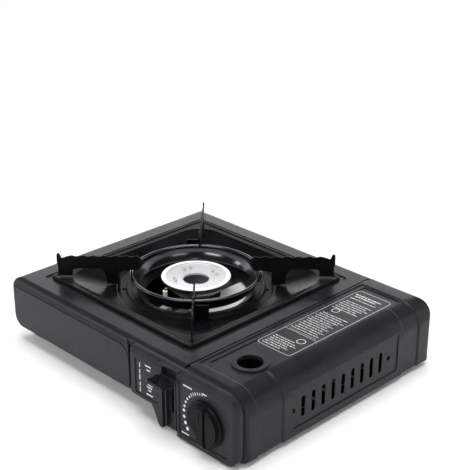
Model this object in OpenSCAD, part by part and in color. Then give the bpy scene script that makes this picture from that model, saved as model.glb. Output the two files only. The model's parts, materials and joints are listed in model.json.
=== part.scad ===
// Butane cassette stove: a pressed-steel tabletop burner with a cartridge bay on its right.
// Stove coordinates: x from the left end, y from the front face backwards, z from the table.
// home() moves them so that the origin is the centre of the footprint, on the table.

/* [Body] */
// Length of the whole body, left end to lid
body_w = 344; // [332:1:362]
// Depth of the body, front face to back face
body_d = 270; // [262:1:284]
// Height of the top plate over the table
top_z = 72; // [70:0.5:78]
// Thickness of the pressed steel sheet
sheet = 0.8; // [0.6:0.1:1]
// Where the top shell ends and the cartridge lid begins
split_x = 264.5; // [257:0.5:266]
// Lower edge of the top shell
shell_bottom = 16; // [14:0.5:20]
// Lower edge of the lid and of the base under the cartridge bay
skirt_z = 6; // [5:0.5:8]
// Radius of the rolled front and back edges
edge_r = 7; // [5:0.5:9]
// Radius of the upper left corner
left_top_r = 8; // [6:0.5:12]
// Radius of the lower left corner
left_low_r = 14; // [10:0.5:18]
// How far the front panel is pressed out
pillow = 2.5; // [1:0.5:4]
// Gap between pieces that are screwed or seated together
seat = 0.3; // [0.2:0.05:0.4]

/* [Burner] */
// Burner centre from the left end
burner_x = 137; // [132:1:142]
// Burner centre from the front face
burner_y = 135; // [130:1:140]
// Outer radius of the burner head
head_r = 36.5; // [32:0.5:40]
// Height of the burner head's rim over the table
head_z = 75.2; // [73:0.2:77]
// Number of flame ports
ports = 76; // [48:1:84]
// Width of a flame port
port_w = 1.4; // [1.2:0.1:1.6]
// Outer radius of the mixing tube
tube_r = 8; // [7:0.5:9]
// Height of the mixing tube's axis
tube_z = 34; // [33:0.5:36]
// Distance of the mixing tube's inlet from the front face
tube_y = 34; // [33:0.5:36]

/* [Drip tray] */
// Half of the tray recess in the top shell
recess_half = 113.4; // [112:0.2:115]
// Half width of the tray over its rim
tray_half = 108.5; // [107:0.5:110]
// Radius of the tray's middle opening
tray_hole_r = 54; // [48:0.5:56]
// Radius of the round basin in the tray
basin_r = 88; // [84:0.5:92]
// Depth of the basin under the top plate
basin_depth = 9; // [8:0.5:10]

/* [Pan support] */
// Radius of the ring of the pan support, at the middle of its rim
ring_r = 67.4; // [66:0.2:69]
// Top of the ring's rim over the top plate
ring_rise = 8.2; // [7:0.2:9]
// Height of the arms over the top plate
arm_rise = 25; // [23:0.5:28]
// Reach of an arm from the burner centre
arm_reach = 145.5; // [142:0.5:146]
// Angles of the front, right, back and left arm
arm_angles = [-44.5, 45, 133.5, 225]; // [-50:0.5:230]
// Thickness of a stamped arm
arm_t = 1.6; // [1.2:0.1:2]
// Distance between two waves of an arm's top edge
wave_pitch = 11.5; // [9:0.5:14]

/* [Cartridge bay] */
// Radius of the gas cartridge that the bay takes
cartridge_r = 34; // [33:0.5:34.5]
// Distance of the cartridge's axis from the left end
cart_x = 302; // [301.5:0.25:303]
// Height of the cartridge's axis
cart_z = 37; // [37:0.25:38]
// Length of the cartridge
cartridge_len = 190; // [180:1:192]
// Radius of the lid's long bend
lid_r = 24; // [18:0.5:28]
// Radius of the sight hole in the lid
sight_r = 12.5; // [10:0.5:14]
// Number of vent slots in the lid
vents = 9; // [5:1:9]
// Distance between two vent slots
vent_pitch = 14; // [12:0.5:15]
// Width of a vent slot
vent_w = 5; // [3:0.5:6]
// Length of a vent slot
vent_len = 22; // [16:1:26]

/* [Controls] */
// How far the control panel stands in front of the body
panel_t = 9; // [8:0.5:10]
// Left edge of the control panel
panel_x = 199; // [196:0.5:202]
// Height of the knob's axis
knob_z = 32.8; // [32:0.2:33.6]
// Radius of the knob
knob_r = 22.9; // [20:0.1:23.5]
// How far the knob's grip stands out in front of the body
knob_reach = 16.6; // [15:0.2:22]
// Radius of the knob spindle
spindle_r = 3; // [2.5:0.25:3.5]
// Radius of the lid's hinge pins
hinge_r = 1.25; // [1:0.05:1.4]
// Radius of the lever's pivot pin
pivot_r = 2.5; // [2:0.25:3]
// Length of the lever's crank
crank = 7; // [6:0.5:8]
// Running clearance of a shaft in its hole
run = 0.05; // [0.03:0.01:0.08]

/* [Hidden] */
$fn = 64;
eps = 0.01;

steel_black = [0.20, 0.20, 0.21];
plastic_black = [0.13, 0.13, 0.14];
enamel_black = [0.05, 0.05, 0.06];
zinc = [0.72, 0.73, 0.75];
aluminium = [0.85, 0.86, 0.88];
brass = [0.78, 0.64, 0.32];
rubber = [0.08, 0.08, 0.08];
ceramic = [0.93, 0.92, 0.88];

handle_out = 14;
front_y = -panel_t - handle_out;
left_floor_z = shell_bottom + sheet + seat;
step_x = split_x - 6;
bay_floor_z = skirt_z + sheet;
hinge_out = 2.4;
hinge_x = split_x + 0.4 + hinge_out;
hinge_z = top_z - hinge_out;
lid_drop = 1.2;
lid_y0 = 1.5;
lid_y1 = body_d - 0.5;
lid_bead = [15.5, 21.5];
lid_bead_r = 6;
lid_flange = 7;
vent_zone = [49, 224];
vent_first = 76.3;
vent_z = skirt_z + 27;
sight_at = [cart_x - 2.5, 51];
ear_y = [8, body_d - 9];
plate_t = 1;
notch_w = plate_t + 1.6;
wall_x = split_x - sheet;
tray_rim_z = top_z + 2;
basin_z = top_z - basin_depth;
arm_top = top_z + arm_rise;
ring_z = top_z + ring_rise;
panel_z = [2.5, top_z - 0.6];
panel_x1 = body_w - 2.4;
panel_wall = 2;
slot_x = split_x - 9.5;
channel_half = 10;
pivot_y = 18;
pivot_z = 40;
lever_swing = 50;
cart_y = 50;
knob_x = cart_x + 0.8;
claw_y = cart_y + cartridge_len + 1;
rail_z = [12, 26];
jet_x = split_x + 3.5;

// ---- shared shapes -------------------------------------------------------------------------

module home() {
    translate([-body_w / 2, -(front_y + body_d) / 2, 0]) children();
}

// A flat shape in x and z, as thick as y0 to y1.
module along_y(y0, y1) {
    translate([0, y1, 0]) rotate([90, 0, 0]) linear_extrude(y1 - y0) children();
}

// A flat shape in y and z, as thick as x0 to x1.
module along_x(x0, x1) {
    translate([x0, 0, 0]) rotate([90, 0, 90]) linear_extrude(x1 - x0) children();
}

module along_z(z0, z1) {
    translate([0, 0, z0]) linear_extrude(z1 - z0) children();
}

module box(a, b) {
    translate(a) cube([b[0] - a[0], b[1] - a[1], b[2] - a[2]]);
}

// Rectangle a..b whose four corners, from the lower left anticlockwise, have radii r.
module round_rect(a, b, r) {
    corner = [[a[0], a[1], 1, 1], [b[0], a[1], -1, 1], [b[0], b[1], -1, -1], [a[0], b[1], 1, -1]];
    difference() {
        translate(a) square([b[0] - a[0], b[1] - a[1]]);
        for (i = [0:3]) if (r[i] > 0)
            translate([corner[i][0] - (corner[i][2] < 0 ? r[i] : 0),
                       corner[i][1] - (corner[i][3] < 0 ? r[i] : 0)])
                square([r[i], r[i]]);
    }
    for (i = [0:3]) if (r[i] > 0)
        translate([corner[i][0] + corner[i][2] * r[i], corner[i][1] + corner[i][3] * r[i]])
            circle(r[i]);
}

module rod_x(x0, x1, y, z, r) {
    translate([x0, y, z]) rotate([0, 90, 0]) cylinder(h = x1 - x0, r = r);
}

module rod_y(y0, y1, x, z, r) {
    translate([x, y0, z]) rotate([-90, 0, 0]) cylinder(h = y1 - y0, r = r);
}

module rod_z(z0, z1, x, y, r) {
    translate([x, y, z0]) cylinder(h = z1 - z0, r = r);
}

// A slot with round ends in a y-z wall, standing upright.
module upright_slot(y, z, w, len) {
    translate([y, z]) {
        square([w, len - w], center = true);
        for (s = [-1, 1]) translate([0, s * (len - w) / 2]) circle(w / 2);
    }
}

// A slot with round ends along the first axis.
module level_slot(a, b, w, len) {
    translate([a, b]) rotate(90) upright_slot(0, 0, w, len);
}

// A pan head screw that points along -z, its head's top at z = 0.
module screw(shank_r, shank_len, head_r, head_h) {
    difference() {
        rod_z(-head_h, 0, 0, 0, head_r);
        for (a = [0, 90]) rotate(a) translate([-head_r * 0.65, -0.4, -head_h * 0.5]) cube([head_r * 1.3, 0.8, head_h]);
    }
    rod_z(-head_h - shank_len, -head_h + eps, 0, 0, shank_r);
}

// A long pressed rib: w wide, raised h over the sheet whose upper face is at z.
module rib(x0, x1, y, z, w, h) {
    difference() {
        box([x0, y - w / 2, z - eps], [x1, y + w / 2, z + h]);
        box([x0 + sheet, y - w / 2 + sheet, z - 2 * sheet], [x1 - sheet, y + w / 2 - sheet, z + h - sheet]);
    }
}

// ---- base ----------------------------------------------------------------------------------

trough_half = 24;
trough_z = 2;
trough_y = [36, body_d - 22];
foot_left = [6, 22];
foot_y = [22.5, body_d - 22.5];
rib_x = [52, 217];
foot_right = [body_w - 11, 10];
base_back = body_d - sheet - seat;
screw_spots = [[split_x - 3, 60], [split_x - 3, 205]];

module base_floor() {
    along_y(sheet + seat, base_back)
        polygon([[left_low_r - 2, left_floor_z], [step_x, left_floor_z], [step_x, skirt_z],
                 [split_x, skirt_z], [split_x, bay_floor_z], [step_x + sheet, bay_floor_z],
                 [step_x + sheet, left_floor_z + sheet], [left_low_r - 2, left_floor_z + sheet]]);
    box([split_x - eps, lid_y0 + 1.5, skirt_z], [body_w - 3.4, lid_y1 - 1.5, bay_floor_z]);
    box([body_w - 3.4 - sheet, lid_y0 + 1.5, skirt_z], [body_w - 3.4, lid_y1 - 1.5, skirt_z + 13]);
}

module base_walls() {
    box([left_low_r + 1, sheet + seat, left_floor_z], [panel_x + 40, 2 * sheet + seat, left_floor_z + 12]);
    box([left_low_r + 1, base_back - sheet, left_floor_z], [step_x - 4, base_back, left_floor_z + 12]);
}

module trough(o) {
    hull() {
        box([cart_x - trough_half + o, trough_y[0] + o, bay_floor_z],
            [cart_x + trough_half - o, trough_y[1] - o, bay_floor_z + 1]);
        box([cart_x - trough_half + 4 + o, trough_y[0] + 4 + o, trough_z + o],
            [cart_x + trough_half - 4 - o, trough_y[1] - 4 - o, trough_z + 1]);
    }
}

module base_plate() {
    color(steel_black) home() difference() {
        union() {
            base_floor();
            base_walls();
            difference() {
                trough(0);
                along_z(bay_floor_z, bay_floor_z + 5) square([body_w, body_d]);
            }
            for (x = rib_x) rib(x - 4, x + 4, burner_y, left_floor_z + sheet - eps, 150, 3);
        }
        trough(sheet);
        for (x = rib_x) box([x - 4 + sheet, burner_y - 75 + sheet, left_floor_z - 1],
                                [x + 4 - sheet, burner_y + 75 - sheet, left_floor_z + sheet + 1]);
        for (a = [0:30:330]) translate([burner_x, burner_y, 0]) rotate(a)
            rod_z(left_floor_z - 1, left_floor_z + 2, 46, 0, 5);
        for (y = [60:14:210]) along_z(left_floor_z - 1, left_floor_z + 2) level_slot(step_x - 18, y, 4, 16);
        for (y = [70:20:210]) along_z(trough_z - 1, trough_z + 2) level_slot(cart_x, y, 5, 24);
        for (p = screw_spots) rod_z(skirt_z - 1, bay_floor_z + 1, p[0], p[1], 1.6);
        for (s = [-1, 1]) rod_z(left_floor_z - 1, left_floor_z + 2, burner_x + s * 30, burner_y, 1.6);
    }
}

module feet() {
    color(rubber) home() {
        for (y = foot_y) difference() {
            along_z(0, left_floor_z) round_rect([foot_left[0], y - 7], [foot_left[1], y + 7], [4, 4, 4, 4]);
            rod_y(y - 8, y + 8, left_low_r, shell_bottom + left_low_r, left_low_r + seat);
            rod_z(-1, 1.5, (foot_left[0] + foot_left[1]) / 2, y, 3);
        }
        for (y = [foot_right[1], body_d - foot_right[1]])
            translate([foot_right[0], y, 0]) rotate_extrude() polygon([[0, 1], [2.5, 1], [2.5, 0], [4.5, 0], [5.5, 1], [6, skirt_z], [0, skirt_z]]);
    }
}

module base_screws() {
    color(zinc) home() for (p = screw_spots)
        translate([p[0], p[1], skirt_z - 1.8]) mirror([0, 0, 1]) screw(1.4, 4.5, 2.6, 1.7);
}

// ---- top shell -----------------------------------------------------------------------------

recess_r = 6;
recess_depth = 1.2;
opening_half = tray_half - 5;
opening_r = 4;
shell_vents = 11;

module shell_solid(o, open) {
    intersection() {
        along_y(o, body_d - o) {
            round_rect([o, shell_bottom + o], [split_x + open, top_z - o],
                       [left_low_r - o, 0, 0, left_top_r - o]);
            if (open > 0) translate([left_low_r, shell_bottom - 2]) square([split_x, 20]);
        }
        along_x(-1, split_x + open + 1)
            round_rect([o, -5], [body_d - o, top_z - o], [0, 0, edge_r - o, edge_r - o]);
    }
}

module pillow_solid(o) {
    intersection() {
        along_y(-pillow + o, sheet + o * 2)
            round_rect([1.5 + o, shell_bottom + 2 + o], [panel_x - 9 - o, top_z - o], [12 - o, 4 - o, 12 - o, 8 - o]);
        along_x(0, split_x)
            round_rect([-pillow + o, -5], [40, top_z - o], [0, 0, 0, edge_r + pillow - o]);
    }
}

module square_at_burner(half, r) {
    translate([burner_x, burner_y]) round_rect([-half, -half], [half, half], [r, r, r, r]);
}

module top_shell() {
    color(steel_black) home() difference() {
        union() {
            shell_solid(0, 0);
            pillow_solid(0);
        }
        difference() {
            union() {
                shell_solid(sheet, 5);
                pillow_solid(sheet);
            }
            along_z(top_z - recess_depth - sheet, top_z) square_at_burner(recess_half + sheet, recess_r + sheet);
        }
        along_z(top_z - recess_depth, top_z + 5) square_at_burner(recess_half, recess_r);
        along_z(top_z - 10, top_z + 5) square_at_burner(opening_half, opening_r);
        along_y(-5, 2) translate([slot_x - channel_half - 2, shell_bottom - 1]) square([channel_half * 2 + 10, 52]);
        for (i = [0:shell_vents - 1]) along_y(body_d - 3, body_d + 3)
            upright_slot(50 + i * vent_pitch, 44, vent_w, vent_len);
        for (z = panel_screw_z) rod_y(-5, 3, panel_screw_x, z, 1.6);
    }
}

// ---- cartridge lid -------------------------------------------------------------------------

module lid_profile(o, x0) {
    round_rect([x0, skirt_z], [body_w - o, top_z - o], [0, 0, lid_r - o, 0]);
}

module lid_solid(o) {
    intersection() {
        union() {
            along_y(lid_y0 + o, lid_y1 - o) lid_profile(lid_drop + o, hinge_x);
            along_y(lid_y0 + o, lid_y0 + lid_bead[0] - o) lid_profile(o, hinge_x);
            along_y(lid_y1 - lid_bead[1] + o, lid_y1 - o) lid_profile(o, hinge_x);
            along_y(vent_zone[0] + o, vent_zone[1] - o) lid_profile(o, body_w - lid_r + o);
        }
        along_x(split_x, body_w + 1)
            round_rect([lid_y0 + o, 0], [lid_y1 - o, top_z + 1 - o], [0, 0, lid_bead_r - o, lid_bead_r - o]);
        along_z(0, top_z + 1)
            round_rect([split_x, lid_y0 + o], [body_w + 1 - o, lid_y1 - o], [0, lid_bead_r - o, lid_bead_r - o, 0]);
    }
}

module lid_inside() {
    intersection() {
        lid_solid(sheet);
        box([split_x, 0, skirt_z - 1], [body_w, body_d, top_z]);
    }
    translate([0, 0, -3]) intersection() {
        lid_solid(sheet);
        box([split_x, 0, skirt_z - 1], [body_w, body_d, skirt_z + 10]);
    }
    along_y(lid_y0 - 1, lid_y1 + 1)
        round_rect([hinge_x - 3, skirt_z - 3], [body_w - lid_flange - lid_drop, top_z - lid_flange - lid_drop],
                   [0, 0, lid_r - lid_flange, 0]);
    box([hinge_x - 3, lid_y0 + sheet, skirt_z], [hinge_x + 3, lid_y1 - sheet, hinge_z - hinge_out - 1]);
}

module cartridge_lid() {
    color(steel_black) home() difference() {
        union() {
            difference() {
                lid_solid(0);
                lid_inside();
            }
            rod_y(ear_y[0], ear_y[1] + plate_t, hinge_x, hinge_z, hinge_out);
            translate([sight_at[0], sight_at[1], 0])
                rod_z(top_z - lid_drop - 0.5, top_z - 0.4, 0, 0, sight_r + 5.5);
            translate([sight_at[0], sight_at[1], 0])
                rod_z(top_z - lid_drop - 3.5, top_z - 1, 0, 0, sight_r + sheet);
        }
        rod_y(ear_y[0] - 1, ear_y[1] + 3, hinge_x, hinge_z, hinge_r + run);
        rod_z(top_z - 10, top_z + 1, sight_at[0], sight_at[1], sight_r);
        along_z(top_z - lid_drop - 0.4, top_z + 1)
            round_rect([hinge_x + 6, 80], [body_w - lid_r - 4, 244], [6, 6, 6, 6]);
        for (i = [0:vents - 1]) along_x(body_w - 4, body_w + 1)
            upright_slot(vent_first + i * vent_pitch, vent_z, vent_w, vent_len);
        for (y = [vent_first - 13, vent_first + (vents - 1) * vent_pitch + 12.4])
            rod_x(body_w - 4, body_w + 1, y, vent_z, 2.5);
        for (y = ear_y) box([split_x, y + plate_t / 2 - notch_w / 2, hinge_z - 4],
                            [hinge_x + 3.4, y + plate_t / 2 + notch_w / 2, top_z + 1]);
        box([split_x, lid_y0 - 1, hinge_z - 4], [hinge_x + 0.7, ear_y[0], top_z + 1]);
        box([split_x, ear_y[1] + plate_t, hinge_z - 4], [hinge_x + 0.7, lid_y1 + 1, top_z + 1]);
    }
}

pin_reach = 15;

module hinge_pins() {
    color(zinc) home() {
        rod_y(ear_y[0] - seat, ear_y[0] + pin_reach, hinge_x, hinge_z, hinge_r);
        rod_y(ear_y[1] + plate_t - pin_reach, ear_y[1] + plate_t + seat, hinge_x, hinge_z, hinge_r);
    }
}

// ---- walls of the cartridge bay ------------------------------------------------------------

plate_x0 = split_x + 0.8;
plate_x1 = body_w - 7;
plate_top = top_z - 6;
plate_z0 = bay_floor_z + seat;

module ear_outline() {
    translate([hinge_x, hinge_z]) circle(2.3);
    translate([hinge_x - 1.6, plate_top - 3]) square([3.2, hinge_z - plate_top + 3]);
}

module bay_plate_outline() {
    round_rect([plate_x0, plate_z0], [plate_x1, plate_top], [0, 0, lid_r - 6, 2]);
    ear_outline();
}

module valve_plate() {
    color(zinc) home() difference() {
        union() {
            along_y(ear_y[0], ear_y[0] + plate_t) bay_plate_outline();
            box([plate_x0 + 8, ear_y[0], plate_z0], [plate_x1 - 6, ear_y[0] + 9, plate_z0 + plate_t]);
        }
        rod_y(ear_y[0] - 1, ear_y[0] + 2, hinge_x, hinge_z, hinge_r + run);
        rod_y(ear_y[0] - 1, ear_y[0] + 2, knob_x, knob_z, bush_r + run);
        for (p = valve_legs) rod_y(ear_y[0] - 1, ear_y[0] + 2, p[0], p[1], 1.6);
        for (p = boss_spots) rod_y(ear_y[0] - 1, ear_y[0] + 2, p[0], p[1], 1.6);
        rod_y(ear_y[0] - 1, ear_y[0] + 2, igniter_x[1] - 4, igniter_z[1] + 5, 1.6);
    }
}

module rear_plate() {
    color(steel_black) home() difference() {
        union() {
            along_y(ear_y[1], ear_y[1] + plate_t) bay_plate_outline();
            box([plate_x0 + 8, ear_y[1] - 8, plate_z0], [plate_x1 - 6, ear_y[1] + plate_t, plate_z0 + plate_t]);
        }
        rod_y(ear_y[1] - 1, ear_y[1] + 2, hinge_x, hinge_z, hinge_r + run);
        for (s = [-1, 1]) along_y(ear_y[1] - 1, ear_y[1] + 2) upright_slot(cart_x + s * 9, cart_z, 5, 24);
    }
}

crank_hole = [pivot_y, pivot_z + crank];

module partition_wall() {
    color(steel_black) home() difference() {
        union() {
            box([wall_x, ear_y[0] + 1.4, plate_z0], [split_x, ear_y[1] - seat, top_z - sheet - seat]);
            box([step_x + sheet + seat, 30, plate_z0], [split_x, ear_y[1] - 20, plate_z0 + sheet]);
            box([split_x - 12, 30, top_z - sheet - seat - sheet], [split_x, ear_y[1] - 20, top_z - sheet - seat]);
        }
        rod_x(wall_x - 1, split_x + 1, tube_y, tube_z, 6.5);
        along_x(wall_x - 1, split_x + 1) level_slot(crank_hole[0], crank_hole[1] - 0.3, 7, 14);
        for (y = rivet_y) rod_x(wall_x - 1, split_x + 1, y, rivet_z, 2);
        rod_x(wall_x - 1, split_x + 1, pivot_y, pivot_z, pivot_r - 0.5);
        rod_x(wall_x - 1, split_x + 1, lead_hole[0], lead_hole[1], 2.5);
        for (p = screw_spots) rod_z(plate_z0 - 1, plate_z0 + 2, p[0], p[1], 1.6);
        for (y = [60:20:200]) along_x(wall_x - 1, split_x + 1) level_slot(y, 58, 4, 12);
    }
}

// ---- drip tray -----------------------------------------------------------------------------

tray_t = 0.8;
tray_rim_r = 5;

// Square at the rim that turns into the round basin: the pressed corners slope down to it.
module tray_bowl(o) {
    hull() {
        along_z(tray_rim_z - 0.2, tray_rim_z + o * 4)
            translate([burner_x, burner_y]) offset(r = tray_rim_r - o, $fn = 24)
                square(2 * (tray_half - 3 - tray_rim_r), center = true);
        translate([burner_x, burner_y, basin_z + o * 0.9]) cylinder(h = 0.2, r = basin_r - o * 0.5, $fn = 64);
    }
}

module tray_basin() {
    h = basin_z;
    t = tray_t;
    translate([burner_x, burner_y, 0]) rotate_extrude() polygon([
        [basin_r - 1, h], [basin_r - 1, h + t], [84, h + t], [82.5, h + t - 1.6], [74, h + t - 1.6],
        [72.5, h + t], [69.5, h + t], [68, h + t - 1.2], [62, h + t - 1.2], [tray_hole_r + 1, h + t - 7],
        [tray_hole_r, h + t - 7], [tray_hole_r, h - 6.4], [tray_hole_r + 1.6, h - 6.6],
        [61.6, h - 1.2], [68.4, h - 1.2], [70, h], [72, h], [73.5, h - 1.6], [83, h - 1.6], [84.5, h]]);
}

peg_r = 75;
peg_off = 8;

module drip_tray() {
    color(enamel_black) home() difference() {
        union() {
            difference() {
                union() {
                    tray_bowl(0);
                    along_z(tray_rim_z - tray_t - 0.2, tray_rim_z) square_at_burner(tray_half, tray_rim_r + 3);
                    along_z(top_z - recess_depth + 0.1, tray_rim_z - 0.4) difference() {
                        square_at_burner(tray_half, tray_rim_r + 3);
                        square_at_burner(tray_half - tray_t, tray_rim_r + 2.2);
                    }
                }
                tray_bowl(tray_t);
                rod_z(basin_z - 5, basin_z + 3, burner_x, burner_y, basin_r - 1.5);
            }
            tray_basin();
        }
        for (a = [45:90:315]) translate([burner_x, burner_y, 0]) rotate(a)
            rod_z(basin_z - 5, basin_z + 5, peg_r, peg_off * ((a == 45) ? -1 : 1), 2.2);
    }
}

// ---- burner --------------------------------------------------------------------------------

neck_r = 13;
cup_r = 31;
neck_z = left_floor_z + 7;

module burner_head() {
    h = head_z;
    color(aluminium) home() translate([burner_x, burner_y, 0]) {
        difference() {
            rotate_extrude() polygon([
                [head_r - 1.4, h], [head_r, h - 0.8], [head_r, h - 2.4], [head_r - 1, h - 5.8],
                [cup_r - 1, h - 6.6], [cup_r - 1, h - 5.4], [head_r - 4, h - 4.2], [12, h - 6.4],
                [12, h - 5], [18, h - 4.6], [head_r - 5.4, h - 2.2], [head_r - 4, h - 0.4],
                [head_r - 3.6, h]]);
            for (i = [0:ports - 1]) rotate(i * 360 / ports)
                box([head_r - 3, -port_w / 2, h - 6], [head_r + 1, port_w / 2, h - 3.4]);
        }
        for (a = [95, 155, 215]) rotate(a) for (s = [-1, 1]) translate([25.5, s * 3.2, h - 5.5]) difference() {
            cylinder(h = 4.4, r = 1.9);
            translate([0, 0, 3]) cylinder(h = 3, r = 0.9);
        }
    }
}

module burner_base() {
    z1 = head_z - 6.9;
    color(zinc) home() difference() {
        translate([burner_x, burner_y, 0]) rotate_extrude() polygon([
            [neck_r, neck_z], [neck_r, 50], [cup_r - 2, z1 - 5], [cup_r, z1 - 3], [cup_r, z1],
            [cup_r - 1.5, z1], [cup_r - 1.5, z1 - 3], [cup_r - 3, z1 - 4.2], [neck_r - 1.5, 51],
            [neck_r - 1.5, neck_z + 2], [0, neck_z + 2], [0, neck_z]]);
        rod_y(burner_y - 20, burner_y, burner_x, tube_z, tube_r - 1);
        translate([burner_x, burner_y, 0]) for (s = [-1, 1]) rod_z(neck_z - 1, neck_z + 3, s * 7, 0, 1.3);
    }
}

tube_bend = burner_y - tube_y - 46;
tube_x0 = wall_x - 4.7;

module mixing_tube() {
    color(aluminium) home() {
        difference() {
            union() {
                rod_x(burner_x + tube_bend, tube_x0, tube_y, tube_z, tube_r);
                translate([tube_x0 - 4, tube_y, tube_z]) rotate([0, 90, 0])
                    cylinder(h = 4, r1 = tube_r, r2 = tube_r + 1.5);
            }
            rod_x(burner_x + tube_bend - 1, tube_x0 + 1, tube_y, tube_z, tube_r - 1);
        }
        translate([burner_x + tube_bend, tube_y + tube_bend, tube_z])
            rotate(180) rotate_extrude(angle = 90) translate([tube_bend, 0]) difference() {
                circle(tube_r);
                circle(tube_r - 1);
            }
        difference() {
            rod_y(tube_y + tube_bend, burner_y - 8, burner_x, tube_z, tube_r);
            rod_y(tube_y + tube_bend - 1, burner_y, burner_x, tube_z, tube_r - 1);
            rod_z(tube_z - 20, tube_z + 20, burner_x, burner_y, neck_r + seat);
        }
    }
}

module burner_bracket() {
    foot = 34;
    z0 = left_floor_z + sheet;
    color(zinc) home() difference() {
        along_y(burner_y - 8, burner_y + 8) polygon([
            [burner_x - foot, z0], [burner_x - 24, z0], [burner_x - 20, neck_z - 1], [burner_x + 20, neck_z - 1],
            [burner_x + 24, z0], [burner_x + foot, z0], [burner_x + foot, z0 + 1], [burner_x + 24.8, z0 + 1],
            [burner_x + 20.8, neck_z], [burner_x - 20.8, neck_z], [burner_x - 24.8, z0 + 1], [burner_x - foot, z0 + 1]]);
        for (s = [-1, 1]) {
            rod_z(z0 - 1, z0 + 3, burner_x + s * 30, burner_y, 1.6);
            rod_z(neck_z - 2, neck_z + 1, burner_x + s * 7, burner_y, 1.6);
        }
    }
}

module burner_screws() {
    z0 = left_floor_z + sheet;
    color(zinc) home() {
        for (s = [-1, 1]) {
            translate([burner_x + s * 30, burner_y, z0 + 3]) screw(1.4, 3.6, 2.8, 1.9);
            translate([burner_x + s * 7, burner_y, neck_z - 3]) mirror([0, 0, 1]) screw(1.2, 3.5, 2.4, 1.9);
        }
    }
}

plate_z = 53;

module heat_plate() {
    color(aluminium) home() difference() {
        union() {
            box([burner_x + 14, 104, plate_z], [wall_x - seat, 188, plate_z + 1]);
            box([wall_x - seat - 1, 104, plate_z - 16], [wall_x - seat, 188, plate_z + 1]);
        }
        rod_z(plate_z - 1, plate_z + 2, burner_x, burner_y, 26);
        for (y = [120, 146, 172]) along_z(plate_z - 1, plate_z + 2) level_slot(232, y, 6, 22);
    }
}

// ---- gas valve -----------------------------------------------------------------------------

bush_r = 5;
valve_y = [22, 38];
valve_legs = [[cart_x - 16, 18], [cart_x - 16, 56], [cart_x + 6.5, 18]];
regulator_y = 27;
regulator_z = cart_z + 18.5;
regulator_r = 10;
regulator_bolt = 8;
boss_spots = [[plate_x0 + 8, 22], [plate_x0 + 8, 56], [plate_x1 - 8, 18]];
outlet_r = 3.8;

module valve_body() {
    color(zinc) home() difference() {
        union() {
            along_y(valve_y[0], valve_y[0] + 4) {
                round_rect([cart_x - 20.5, 13.5], [cart_x + 11, 50], [4, 4, 4, 4]);
                round_rect([cart_x - 20.5, 13.5], [cart_x - regulator_r - 0.6, 60.5], [4, 4, 4, 4]);
            }
            rod_y(valve_y[0], valve_y[1], cart_x, cart_z, 15);
            rod_y(valve_y[0] - 3, valve_y[0] + 1, knob_x, knob_z, 6);
            rod_x(jet_x + 4, cart_x, tube_y, tube_z, outlet_r);
            rod_z(cart_z, regulator_z, cart_x, regulator_y, regulator_r - 0.5);
            for (p = valve_legs) rod_y(ear_y[0] + plate_t, valve_y[0] + 1, p[0], p[1], 3.2);
        }
        rod_y(valve_y[0] - 4, valve_y[0] + 6, knob_x, knob_z, spindle_r + run);
        rod_y(valve_y[1] - 7, valve_y[1] + 1, cart_x, cart_z, 5.2);
        for (p = valve_legs) rod_y(ear_y[0], ear_y[0] + 9, p[0], p[1], 1.5);
        rod_x(jet_x + 3, jet_x + 10, tube_y, tube_z, 2.6);
        for (a = [0:90:270]) translate([cart_x, regulator_y, 0]) rotate(a)
            rod_z(regulator_z - 3, regulator_z + 1, regulator_bolt, 0, 0.9);
    }
}

module regulator_cap() {
    z = regulator_z;
    r = regulator_r;
    color(zinc) home() translate([cart_x, regulator_y, 0]) difference() {
        rotate_extrude() polygon([[0, z + 5], [4.5, z + 5], [6, z + 3], [r, z + 3], [r, z], [0, z]]);
        for (a = [0:90:270]) rotate(a) rod_z(z - 1, z + 4, regulator_bolt, 0, 0.9);
    }
}

module regulator_screws() {
    color(zinc) home() translate([cart_x, regulator_y, 0]) for (a = [0:90:270]) rotate(a)
        translate([regulator_bolt, 0, regulator_z + 4]) screw(0.8, 5, 1.5, 1);
}

module gas_jet() {
    color(brass) home() {
        difference() {
            union() {
                translate([jet_x + 4, tube_y, tube_z]) rotate([0, -90, 0]) cylinder(h = 3.5, r = 5, $fn = 6);
                rod_x(wall_x - 3, jet_x + 1, tube_y, tube_z, 2.6);
                translate([wall_x - 6, tube_y, tube_z]) rotate([0, 90, 0]) cylinder(h = 3, r1 = 1.2, r2 = 2.6);
                rod_x(jet_x + 3, jet_x + 8, tube_y, tube_z, 2.5);
            }
            rod_x(wall_x - 7, jet_x + 9, tube_y, tube_z, 0.5);
        }
    }
}

module cartridge_collar() {
    y0 = valve_y[1];
    color(zinc) home() difference() {
        union() {
            rod_y(y0, y0 + 1, cart_x, cart_z, 21);
            rod_y(y0, y0 + 4, cart_x, cart_z, 17);
            box([cart_x - 2, y0, cart_z + 15], [cart_x + 2, y0 + 7, cart_z + 16.5]);
        }
        rod_y(y0 + 1, y0 + 5, cart_x, cart_z, 15.8);
        rod_y(y0 - 1, y0 + 5, cart_x, cart_z, 9.5);
    }
}

module collar_seal() {
    y0 = valve_y[1];
    color(rubber) home() difference() {
        rod_y(y0, y0 + 2, cart_x, cart_z, 9);
        rod_y(y0 - 1, y0 + 3, cart_x, cart_z, 5.2);
    }
}

module spindle_bush() {
    color(brass) home() difference() {
        union() {
            rod_y(ear_y[0] - 1, ear_y[0] + plate_t + 0.6, knob_x, knob_z, bush_r);
            rod_y(ear_y[0] - 1, ear_y[0], knob_x, knob_z, bush_r + 2);
        }
        rod_y(ear_y[0] - 2, ear_y[0] + 5, knob_x, knob_z, spindle_r + run);
    }
}

module valve_screws() {
    color(zinc) home() for (p = valve_legs)
        translate([p[0], ear_y[0] - 1.9, p[1]]) rotate([90, 0, 0]) screw(1.4, 6, 2.8, 1.8);
}

// ---- igniter -------------------------------------------------------------------------------

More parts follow.
